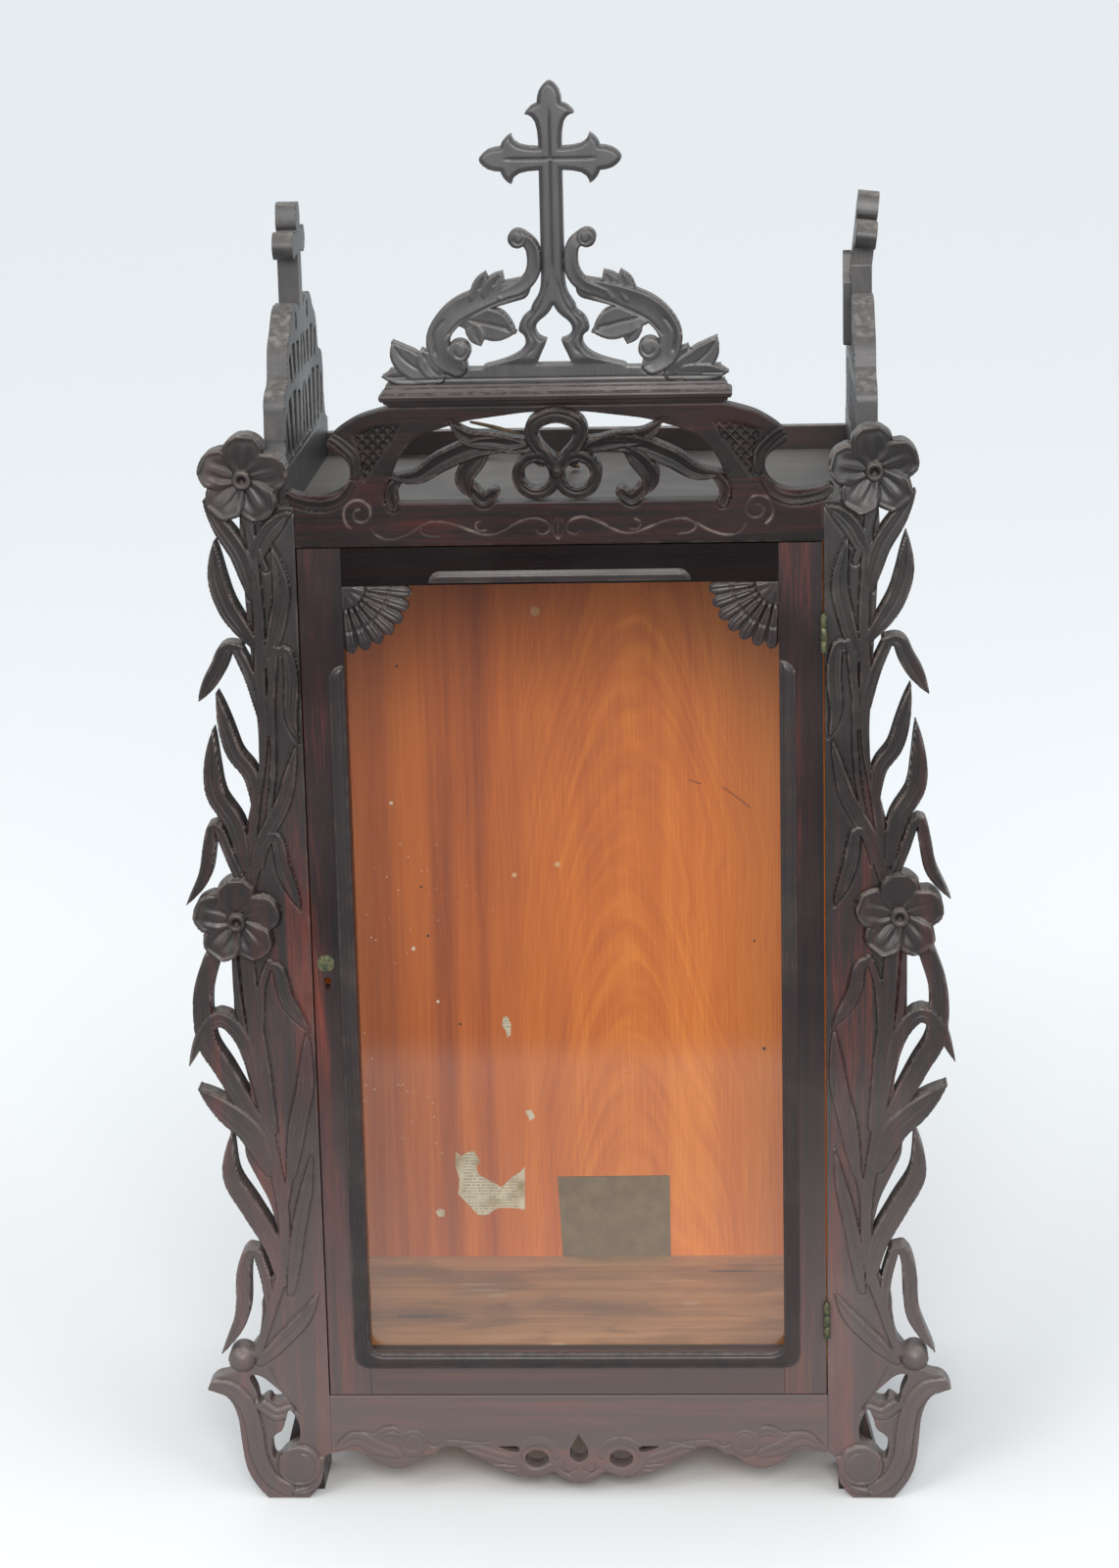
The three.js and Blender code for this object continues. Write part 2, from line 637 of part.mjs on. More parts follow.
// Frieze: half of the outer and of the inner outline, as X and height above the rail
const FRIEZE_OUTER = [
  [151, 88], [167, 84], [180, 80], [191, 74], [204, 65], [211, 53], [200, 47], [191, 40], [188, 32],
  [189, 22], [195, 14], [204, 9], [215, 7], [237, 9], [247, 14], [252, 7], [243, -1], [241.2, -1],
];
const FRIEZE_INNER = [[158, 0], [156, 14], [152, 23], [147, 36], [139, 49], [128, 60], [115, 65], [81, 75], [26, 82]];
const BOW_LOOPS = [[[0, 51], 30, 17], [[18, 23], 23, 13], [[-18, 23], 23, 13]];
const FRIEZE_BLADES = [
  [[[24, 48], [55, 55], [80, 59], [97, 74]], 13],
  [[[30, 53], [70, 51], [104, 38], [128, 24], [154, 24]], 15],
  [[[65, 46], [84, 24], [80, 5]], 15],
];
const FRIEZE_STALKS = [
  [[[78, 12], [68, 1], [58, 8]], 11],
  [[[14, 36], [34, 50], [60, 52]], 9],
  [[[146, 20], [152, 10], [150, -3]], 10],
];

function bowLoop([x, z], outer, inner, stretch) {
  const outside = arc([x, z], outer, 0, 330, 11).map(([a, b]) => [a, z + (b - z) * stretch]);
  const inside = arc([x, z], inner, 0, 315, 7).map(([a, b]) => [a, z + (b - z) * stretch]);
  return frontBoard(outside, frontY - 3, FRONT_BOARD - 3, [inside]);
}

function archedFrieze() {
  const wide = (x) => (x * postInner) / DRAWN_FRIEZE_HALF;
  const high = (h) => railTop + (h * ARCH_HEIGHT) / DRAWN_ARCH_HEIGHT;
  const place = ([x, h]) => [wide(x), high(h)];
  const outer = FRIEZE_OUTER.map(place);
  const outline = bothHalves([...outer, [postInner - JOINT_GAP, friezeBottom]]);
  const inner = FRIEZE_INNER.map(([x, h]) => place([(x * ARCH_HALF_SPAN) / FRIEZE_INNER[0][0], h]));
  const openwork = BOW_LOOPS.map(([centre, radius, hole], i) => {
    return bowLoop(place(centre), radius, hole, i === 0 ? 1.12 : 1);
  });
  for (const side of [-1, 1]) {
    const turn = (spine) => spine.map(place).map(([x, z]) => [side * x, z]);
    for (const [spine, width] of FRIEZE_BLADES) {
      openwork.push(strip(turn(spine), width, "blade", longFace));
    }
    for (const [spine, width] of FRIEZE_STALKS) {
      openwork.push(strip(turn(spine), width, "ribbon", { ...freeFace, stations: 4 }));
    }
  }
  const knot = disc(0, high(28), 5.5, frontY - 6, frontY + FRONT_BOARD - 3, 10);
  const arch = frontBoard(outline, frontY, FRONT_BOARD, [bothHalves(inner)]);
  return join([arch, ...openwork, knot]);
}

// Cornice: how far it stands out at each share of its height
const CORNICE_PROFILE = [
  [0, 0], [0.1, 0.15], [0.12, 0.45], [0.24, 0.6], [0.3, 0.95], [0.46, 1], [0.62, 0.9], [0.68, 0.6],
  [0.84, 0.5], [0.88, 0.3], [1, 0.3],
];

function cornice() {
  const bottom = archTop + JOINT_GAP;
  const rings = CORNICE_PROFILE.map(([share, out]) => {
    const x = ARCH_TOP_HALF_WIDTH + CORNICE_OVERHANG * out;
    const y0 = frontY - CORNICE_OVERHANG * out;
    const y1 = frontY + FRONT_BOARD + CORNICE_OVERHANG * out;
    const z = bottom + CORNICE_HEIGHT * share;
    return [[-x, y0, z], [x, y0, z], [x, y1, z], [-x, y1, z]];
  });
  return loft(rings);
}

// Cross crest: X from the middle and height above the crest's foot
const CREST_SCROLLS = [
  [[[28, 131], [18, 121], [17, 102], [26, 88], [46, 79]], 13],
  [[[30, 84], [62, 73], [88, 62], [103, 44], [101, 24], [88, 14]], 21],
  [[[5, 76], [14, 62], [19.5, 50], [13.5, 38], [15, 27], [26, 12]], 17],
];
const CREST_BLADES = [
  [[[60, 72], [54, 86], [46, 99]], 14],
  [[[72, 70], [66, 84], [61, 99]], 13],
  [[[80, 58], [60, 54], [46, 49], [35, 45]], 24],
  [[[76, 54], [70, 44], [66, 34]], 13],
  [[[106, 6], [124, 14], [138, 25], [146, 38]], 20],
  [[[104, 6], [114, 18], [120, 31]], 16],
  [[[108, 7], [132, 7], [156, 7]], 14],
];
const CREST_VOLUTES = [[[31, 129], 8.5], [[86, 29], 10.5]];
const SHAFT_HALF_WIDTH = 10.3;
const ARM_HEIGHT = 199.4;
const ARM_REACH = 63.5;
// Pointed trefoil end of an arm: distance back from its tip, and half width
const FINIAL = [[46, 10.3], [33, 15], [27, 22.5], [22, 12], [13, 11.5], [5, 6]];

function crossArm(tip, direction) {
  const across = [-direction[1], direction[0]];
  const at = (back, half) => [
    tip[0] - direction[0] * back + across[0] * half,
    tip[1] - direction[1] * back + across[1] * half,
  ];
  return [
    ...FINIAL.map(([back, half]) => at(back, half)),
    at(0, 0),
    ...FINIAL.map(([back, half]) => at(back, -half)).reverse(),
  ];
}

function crossCrest() {
  const base = archTop + CORNICE_HEIGHT + 2 * JOINT_GAP;
  const scale = CREST_HEIGHT / DRAWN_CREST_HEIGHT;
  const place = ([x, h]) => [x * scale, base + h * scale];
  const front = frontY + (FRONT_BOARD - CREST_THICKNESS) / 2;
  const back = front + CREST_THICKNESS;
  const face = { front: front + 2, back, rise: 4 };
  const cross = [
    crossArm([0, DRAWN_CREST_HEIGHT], [0, 1]),
    crossArm([ARM_REACH, ARM_HEIGHT], [1, 0]),
    crossArm([-ARM_REACH, ARM_HEIGHT], [-1, 0]),
  ].map((outline) => frontBoard(outline.map(place), front, CREST_THICKNESS));
  const bar = (x0, x1, h0, h1) => frontBoard(
    [[x0, h0], [x1, h0], [x1, h1], [x0, h1]].map(place), front, CREST_THICKNESS,
  );
  cross.push(bar(-SHAFT_HALF_WIDTH, SHAFT_HALF_WIDTH, 66, DRAWN_CREST_HEIGHT - 37));
  cross.push(bar(-ARM_REACH + 37, ARM_REACH - 37, ARM_HEIGHT - SHAFT_HALF_WIDTH, ARM_HEIGHT + SHAFT_HALF_WIDTH));
  const plate = block(
    -CREST_PLATE_HALF_WIDTH, CREST_PLATE_HALF_WIDTH, front, back, base, base + CREST_PLATE_HEIGHT * scale,
  );
  const pieces = [...cross, plate];
  for (const side of [-1, 1]) {
    const turn = (spine) => spine.map(place).map(([x, z]) => [side * x, z]);
    for (const [spine, width] of CREST_SCROLLS) {
      pieces.push(strip(turn(spine), width * scale, "ribbon", { ...face, stations: 6 }));
    }
    for (const [spine, width] of CREST_BLADES) {
      pieces.push(strip(turn(spine), width * scale, "blade", { ...face, stations: 3 }));
    }
    for (const [centre, radius] of CREST_VOLUTES) {
      const [[x, z]] = turn([centre]);
      pieces.push(disc(x, z, radius * scale, front, back, 10));
    }
  }
  return join(pieces);
}

// Side crests: half outline as distance from the middle of the depth and height above the top board
const SIDE_CREST_OUTLINE = [
  [13, 172], [30, 183], [60, 183], [78, 178], [96, 162], [112, 155], [118, 148], [126, 118], [150, 113],
  [160, 106], [162, 60], [168, 44], [188, 38], [188, 0],
];
// Slots between the bars of each tier: inner and outer place at the foot, then at the head
const SIDE_CREST_SLOTS = [
  [[38, 158], [52, 158], [50, 176], [42, 176]],
  [[8, 116], [18, 116], [16, 142], [4, 156]],
  [[32, 116], [46, 116], [48, 148], [30, 146]],
  [[60, 116], [74, 116], [84, 148], [64, 148]],
  [[88, 114], [102, 114], [110, 138], [99, 144]],
  [[6, 50], [22, 50], [16, 96], [4, 104]],
  [[36, 48], [52, 48], [50, 102], [32, 98]],
  [[66, 46], [82, 46], [88, 104], [66, 104]],
  [[96, 48], [112, 48], [126, 100], [106, 103]],
  [[126, 50], [142, 50], [150, 84], [142, 94]],
];
const SIDE_CROSS_SHAFT = 13.5;
const SIDE_CROSS_ARM = { bottom: 227, top: 247, reach: 48 };
const SIDE_CROSS_FOOT = 150;
const SIDE_CROSS_BREAK = 205;
const SPLINTER = { inset: 7, bottom: 130, top: 220 };

function sideCrest(side, broken) {
  const middle = (behindFront + backY) / 2;
  const outer = side > 0 ? topRight : -sideOuter;
  const left = side > 0 ? outer - SIDE_BOARD : outer;
  const halfLength = (backY - behindFront) / 2 - SIDE_CREST_INSET;
  const long = (s) => (s * halfLength) / SIDE_CREST_OUTLINE.at(-1)[0];
  const high = (h) => topBoardUpper + JOINT_GAP + (h * SIDE_CREST_HEIGHT) / DRAWN_SIDE_CREST_HEIGHT;
  const place = ([s, h]) => [long(s), high(h)];
  const move = (points) => points.map(([s, z]) => [middle + s, z]);
  const half = SIDE_CREST_OUTLINE.map(place);
  const slots = SIDE_CREST_SLOTS.map((slot) => slot.map(place));
  const holes = [...slots, ...slots.map(mirrored)].map(move);
  const board = sideBoard(move(bothHalves(half)), left, SIDE_BOARD, holes);
  const bar = (s0, s1, h0, h1) => sideBoard(
    move([[s0, h0], [s1, h0], [s1, h1], [s0, h1]].map(place)), left, SIDE_BOARD,
  );
  const { bottom, top, reach } = SIDE_CROSS_ARM;
  const knob = (s, h, radius) => sideBoard(move(arc(place([s, h]), radius, 0, 315, 7)), left, SIDE_BOARD);
  const head = [
    bar(-SIDE_CROSS_SHAFT, SIDE_CROSS_SHAFT, SIDE_CROSS_BREAK - 12, DRAWN_SIDE_CREST_HEIGHT - 8),
    bar(-SIDE_CROSS_SHAFT - 2, SIDE_CROSS_SHAFT + 2, DRAWN_SIDE_CREST_HEIGHT - 26, DRAWN_SIDE_CREST_HEIGHT),
    bar(-reach, 0, bottom, top),
    knob(-reach + 11, (bottom + top) / 2, 13),
  ];
  if (!broken) {
    head.push(bar(0, reach, bottom, top), knob(reach - 11, (bottom + top) / 2, 13));
  }
  const pieces = [board, bar(-SIDE_CROSS_SHAFT, SIDE_CROSS_SHAFT, SIDE_CROSS_FOOT, SIDE_CROSS_BREAK + 3)];
  if (!broken) {
    return join([...pieces, ...head]);
  }
  const pivot = [outer, high(SIDE_CROSS_BREAK)];
  const leaning = head.map((piece) => piece
    .translate(-pivot[0], 0, -pivot[1])
    .rotateY(side * BROKEN_CROSS_LEAN)
    .translate(pivot[0], 0, pivot[1]));
  const splinterLeft = side > 0 ? left - SPLINTER.inset : left + SIDE_BOARD - 1;
  const splinter = sideBoard(
    move([[-9, SPLINTER.bottom], [12, SPLINTER.bottom], [13, SPLINTER.top], [4, SPLINTER.top - 9],
      [-2, SPLINTER.top - 2], [-9, SPLINTER.top - 30]].map(place)),
    splinterLeft, SPLINTER.inset + 1,
  );
  return join([...pieces, ...leaning, splinter]);
}

// A torn sheet pasted on the back panel, and a card that leans on it
const PAPER_OUTLINE = [
  [-144, 216], [-125, 217], [-118, 204], [-122, 190], [-110, 184], [-96, 176], [-84, 188], [-70.5, 199],
  [-71.7, 150], [-100, 152], [-112, 144], [-122, 144], [-136, 160], [-143, 168],
];

function paperRemnant() {
  const panelFace = backY - BACK_PANEL;
  return frontBoard(PAPER_OUTLINE, panelFace - JOINT_GAP - PAPER_THICKNESS, PAPER_THICKNESS);
}

function brownCard() {
  const panelFace = backY - BACK_PANEL;
  const bottom = FLOOR_HEIGHT + JOINT_GAP;
  const outline = [
    [CARD_LEFT + 4, bottom], [CARD_LEFT + CARD_WIDTH, bottom],
    [CARD_LEFT + CARD_WIDTH, bottom + CARD_HEIGHT + 1], [CARD_LEFT, bottom + CARD_HEIGHT],
  ];
  return frontBoard(outline, panelFace - JOINT_GAP - CARD_THICKNESS, CARD_THICKNESS);
}

const FINISHES = {
  wood: { color: 0x2b1714, roughness: 0.45, metalness: 0 },
  topWood: { color: 0x4b4642, roughness: 0.8, metalness: 0 },
  panelWood: { color: 0xb06a35, roughness: 0.6, metalness: 0 },
  glass: { color: 0xdfe8e6, roughness: 0.05, metalness: 0, transparent: true, opacity: 0.25 },
  brass: { color: 0x6f6a45, roughness: 0.5, metalness: 0.8 },
  paper: { color: 0xcfc3a6, roughness: 0.9, metalness: 0 },
  card: { color: 0x5d4a2a, roughness: 0.85, metalness: 0 },
};

const group = new THREE.Group();

function add(name, geometry, finish) {
  const mesh = new THREE.Mesh(geometry, new THREE.MeshStandardMaterial(FINISHES[finish]));
  mesh.name = name;
  group.add(mesh);
}

const innerWidth = sideInner - JOINT_GAP;
const panelFront = backY - BACK_PANEL;

add("back_panel", block(
  -innerWidth, innerWidth, panelFront, backY, BACK_PANEL_BOTTOM, topBoardUnder - JOINT_GAP,
), "panelWood");
add("left_side_panel", sidePanel(-1), "wood");
add("right_side_panel", sidePanel(1), "wood");
add("top_board", block(-sideOuter, topRight, behindFront, backY, topBoardUnder, topBoardUpper), "topWood");
add("floor_board", block(
  -innerWidth, innerWidth, behindFront, panelFront - JOINT_GAP, FLOOR_HEIGHT - FLOOR_BOARD, FLOOR_HEIGHT,
), "panelWood");
add("back_top_rail", block(
  -innerWidth, innerWidth + RIGHT_OVERHANG, backY - BACK_RAIL_THICKNESS, backY, topBoardUpper + JOINT_GAP,
  topBoardUpper + JOINT_GAP + BACK_RAIL_HEIGHT,
), "wood");
add("left_front_post", frontPost(-1), "wood");
add("right_front_post", frontPost(1), "wood");
add("apron_rail", apron(), "wood");
add("arched_frieze", archedFrieze(), "wood");
add("cornice_moulding", cornice(), "wood");
add("cross_crest", crossCrest(), "wood");
add("left_side_crest", sideCrest(-1, false), "wood");
add("right_side_crest", sideCrest(1, true), "wood");

add("door_lock_stile", doorStile(-1), "wood");
add("door_hinge_stile", doorStile(1), "wood");
add("door_top_rail", doorRail(sightTop, doorTop), "wood");
add("door_bottom_rail", doorRail(DOOR_BOTTOM, sightBottom), "wood");
add("door_bead_surround", beadSurround(), "wood");
add("door_bead_top", beadTop(), "wood");
add("left_corner_fan", cornerFan(-1), "wood");
add("right_corner_fan", cornerFan(1), "wood");
add("glass_pane", block(
  -sightHalf - GLASS_IN_GROOVE, sightHalf + GLASS_IN_GROOVE, frontY + GLASS_SETBACK,
  frontY + GLASS_SETBACK + GLASS_THICKNESS, sightBottom - GLASS_IN_GROOVE, sightTop + GLASS_IN_GROOVE,
), "glass");
add("brass_stud", stud(), "brass");

for (const [name, centreZ] of Object.entries(hingeCentres)) {
  add(`${name}_hinge_post_leaf`, hingeLeaf(centreZ, 1), "brass");
  add(`${name}_hinge_door_leaf`, hingeLeaf(centreZ, -1), "brass");
  add(`${name}_hinge_pin`, hingePin(centreZ), "brass");
}

add("paper_remnant", paperRemnant(), "paper");
add("brown_card", brownCard(), "card");

export default group;
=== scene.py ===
"""A carved, dark wooden house shrine with one glazed door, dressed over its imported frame."""

import logging
import math
from collections.abc import Iterable
from dataclasses import dataclass, field
from enum import Enum

import bmesh
import bpy
import numpy as np
from mathutils import Matrix, Vector


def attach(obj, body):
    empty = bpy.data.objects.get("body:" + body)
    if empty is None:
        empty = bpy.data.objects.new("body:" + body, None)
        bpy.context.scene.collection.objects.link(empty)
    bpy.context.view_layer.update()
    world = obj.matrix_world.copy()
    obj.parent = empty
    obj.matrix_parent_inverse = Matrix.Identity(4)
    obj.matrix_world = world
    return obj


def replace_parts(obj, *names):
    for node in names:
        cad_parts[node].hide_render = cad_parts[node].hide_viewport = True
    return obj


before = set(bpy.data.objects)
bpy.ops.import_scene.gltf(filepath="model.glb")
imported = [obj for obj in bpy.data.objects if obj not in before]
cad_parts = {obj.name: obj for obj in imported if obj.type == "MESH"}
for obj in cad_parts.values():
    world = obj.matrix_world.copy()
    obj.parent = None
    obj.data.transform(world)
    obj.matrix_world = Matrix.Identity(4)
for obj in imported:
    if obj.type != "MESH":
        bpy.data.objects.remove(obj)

log = logging.getLogger("shrine")

Point = tuple[float, float]
Place = tuple[float, float, float]
Path = list[Point]
Colour = tuple[float, float, float, float]
Socket = bpy.types.NodeSocket
Material = bpy.types.Material
Piece = bpy.types.Object

MM = 0.001
FRONT = -193.0
BOARD = 20.0
POST_INNER = 241.5
RAIL_TOP = 983.5
CREST_FOOT = 1092.1
CREST_FRONT = -192.0
CREST_THICKNESS = 18.0
SIDE_OUTER = 272.0
RIGHT_OVERHANG = 20.0
SIDE_MIDDLE = 17.15
SIDE_CREST_FOOT = 965.8
SIGHT_HALF = 200.0
SIGHT_TOP = 907.5
SIGHT_BOTTOM = 152.0
PANEL_FRONT = 195.0
JOINT_GAP = 0.3


class Facing(Enum):
    """The way a board's carved face looks."""

    FRONT = "front"
    LEFT = "left"
    RIGHT = "right"


class Grain(Enum):
    """The way the grain of a board runs, as a stretch of the pattern along X, Y and Z."""

    UPRIGHT = (1.0, 1.0, 0.045)
    ACROSS = (0.045, 1.0, 1.0)
    DEEP = (1.0, 0.045, 1.0)


def blade_width(share: np.ndarray) -> np.ndarray:
    """Widens from its foot, then narrows to a point."""
    foot = 0.55 + 0.45 * np.sin(np.pi / 2 * np.clip(share / 0.35, 0, 1))
    tip = np.clip((1 - share) / 0.45, 0, 1)
    return np.maximum(0.1, foot * np.sin(np.pi / 2 * tip) ** 0.75)


def ribbon_width(share: np.ndarray) -> np.ndarray:
    """Keeps nearly the same width from end to end."""
    return 1 - 0.15 * np.abs(2 * share - 1) ** 1.5


class Form(Enum):
    """How a carved leaf's width runs along it."""

    BLADE = (blade_width,)
    RIBBON = (ribbon_width,)

    def width(self, share: np.ndarray) -> np.ndarray:
        """The width at each share of the length, as a share of the full width."""
        return self.value[0](share)


def smooth_path(points: Iterable[Point], count: int) -> np.ndarray:
    """Evenly spaced points on the smooth curve through the given ones.

    Args:
        points: The points that the curve goes through.
        count: How many points to give back.

    Returns:
        The points on the curve, one a row.
    """
    p = np.asarray(list(points), float)
    n = len(p)
    t = np.linspace(0, n - 1, 12 * n)
    i = np.minimum(t.astype(int), n - 2)
    w = (t - i)[:, None]
    p1, p2 = p[i], p[i + 1]
    v0 = (p2 - p[np.maximum(i - 1, 0)]) * 0.5
    v1 = (p[np.minimum(i + 2, n - 1)] - p1) * 0.5
    fine = (2 * p1 - 2 * p2 + v0 + v1) * w**3 + (-3 * p1 + 3 * p2 - 2 * v0 - v1) * w**2 + v0 * w + p1
    run = np.concatenate([[0], np.cumsum(np.linalg.norm(np.diff(fine, axis=0), axis=1))])
    even = np.linspace(0, run[-1], count)
    return np.stack([np.interp(even, run, fine[:, 0]), np.interp(even, run, fine[:, 1])], 1)


def soften(points: Iterable[Point], square: Iterable[Point] = (), reach: float = 6.0) -> Path:
    """Rounds the corners of a closed outline by cutting them off twice.

    Args:
        points: The outline's corners.
        square: The corners that stay sharp.
        reach: The furthest that a corner is cut back, in millimetres.

    Returns:
        The rounded outline.
    """
    kept = set(square)
    path = [(tuple(p), tuple(p) in kept) for p in points]
    for _ in range(2):
        cut = []
        for k, (p, sharp) in enumerate(path):
            if sharp:
                cut.append((p, True))
                continue
            for q in (path[k - 1][0], path[(k + 1) % len(path)][0]):
                share = min(0.25, reach / max(1e-6, math.dist(p, q)))
                cut.append(((p[0] + (q[0] - p[0]) * share, p[1] + (q[1] - p[1]) * share), False))
        path, reach = cut, reach / 2
    return [p for p, _ in path]


def mirrored(points: Iterable[Point]) -> Path:
    """The points with their first number's sign turned."""
    return [(-a, b) for a, b in points]


def placed(points: Iterable[Point], side: int, height: float = 0) -> Path:
    """Moves a drawing of the right side up, and mirrors it where the side is -1."""
    return [(side * a, height + z) for a, z in points]


def oblong(low: Point, high: Point) -> Path:
    """A rectangle's outline from its lower left and upper right corner."""
    return [low, (high[0], low[1]), high, (low[0], high[1])]


def both_halves(half: Iterable[Point]) -> Path:
    """A symmetric outline from its right half, given from top to bottom."""
    half = list(half)
    return half + mirrored(half)[::-1]


def arc(centre: Point, radius: float, start: float, end: float, steps: int = 12) -> Path:
    """Points on a circle's arc, with the angles in degrees."""
    angles = np.radians(np.linspace(start, end, steps + 1))
    return [(centre[0] + radius * math.cos(t), centre[1] + radius * math.sin(t)) for t in angles]


def spiral(centre: Point, outer: float, inner: float, start: float, turns: float) -> Path:
    """Points on a spiral that winds in.

    Args:
        centre: Its middle.
        outer: The radius where it starts.
        inner: The radius where it ends.
        start: The angle where it starts, in degrees.
        turns: How many times it goes round, below 0 for clockwise.

    Returns:
        The points.
    """
    count = int(abs(turns) * 20) + 2
    course = []
    for k in range(count):
        radius = outer + (inner - outer) * k / (count - 1)
        angle = math.radians(start) + 2 * math.pi * turns * k / (count - 1)
        course.append((centre[0] + radius * math.cos(angle), centre[1] + radius * math.sin(angle)))
    return course


def eased(value: np.ndarray, low: float, high: float) -> np.ndarray:
    """Goes smoothly from 0 at the low value to 1 at the high one."""
    t = np.clip((value - low) / (high - low), 0, 1)
    return t * t * (3 - 2 * t)


def outline_depth(points: Iterable[Point], a: np.ndarray, z: np.ndarray) -> np.ndarray:
    """How far each place lies inside a closed outline.

    Args:
        points: The outline's corners.
        a: The places' distances across.
        z: The places' heights.

    Returns:
        The depths, below 0 for places outside the outline.
    """
    p = np.asarray(list(points), float)
    best = np.full(a.shape, 1e9)
    within = np.zeros(a.shape, bool)
    for (a0, z0), (a1, z1) in zip(p, np.roll(p, -1, 0)):
        ea, ez = a1 - a0, z1 - z0
        t = np.clip(((a - a0) * ea + (z - z0) * ez) / max(1e-9, ea * ea + ez * ez), 0, 1)
        best = np.minimum(best, (a - a0 - t * ea) ** 2 + (z - z0 - t * ez) ** 2)
        if abs(ez) > 1e-9:
            within ^= ((z0 > z) != (z1 > z)) & (a < ea * (z - z0) / ez + a0)
    return np.where(within, np.sqrt(best), -np.sqrt(best))


def along_path(path: np.ndarray, a: np.ndarray, z: np.ndarray) -> tuple[np.ndarray, np.ndarray, np.ndarray]:
    """Where each place lies beside a path.

    Args:
        path: The path's points, one a row.
        a: The places' distances across.
        z: The places' heights.

    Returns:
        The share of the path's length at the nearest point, the distance to it, and the side as -1 or 1.
    """
    best = np.full(a.shape, 1e9)
    share = np.zeros(a.shape)
    side = np.zeros(a.shape)
    total = len(path) - 1
    for k in range(total):
        (a0, z0), (a1, z1) = path[k], path[k + 1]
        ea, ez = a1 - a0, z1 - z0
        t = np.clip(((a - a0) * ea + (z - z0) * ez) / max(1e-9, ea * ea + ez * ez), 0, 1)
        da, dz = a - a0 - t * ea, z - z0 - t * ez
        d = da * da + dz * dz
        nearer = d < best
        best = np.where(nearer, d, best)
        share = np.where(nearer, (k + t) / total, share)
        side = np.where(nearer, ea * dz - ez * da, side)
    return share, np.sqrt(best), np.where(side < 0, -1.0, 1.0)


def blurred(values: np.ndarray, rounds: int) -> np.ndarray:
    """Evens values out over their neighbours.

    Args:
        values: The values on a grid.
        rounds: How many times they are evened out.

    Returns:
        The even values.
    """
    for _ in range(rounds):
        wide = np.pad(values, 1, mode="edge")
        values = (2 * values + wide[2:, 1:-1] + wide[:-2, 1:-1] + wide[1:-1, 2:] + wide[1:-1, :-2]) / 6
    return values


@dataclass(frozen=True)
class Leaf:
    """A carved leaf, stem or band that follows a spine, in millimetres."""

    spine: Path
    width: float
    form: Form = Form.BLADE
    rise: float = 3.0
    foot: float = 0.0
    free: bool = False
    dish: float = 0.25
    lean: float = 0.6
    veins: int = 1


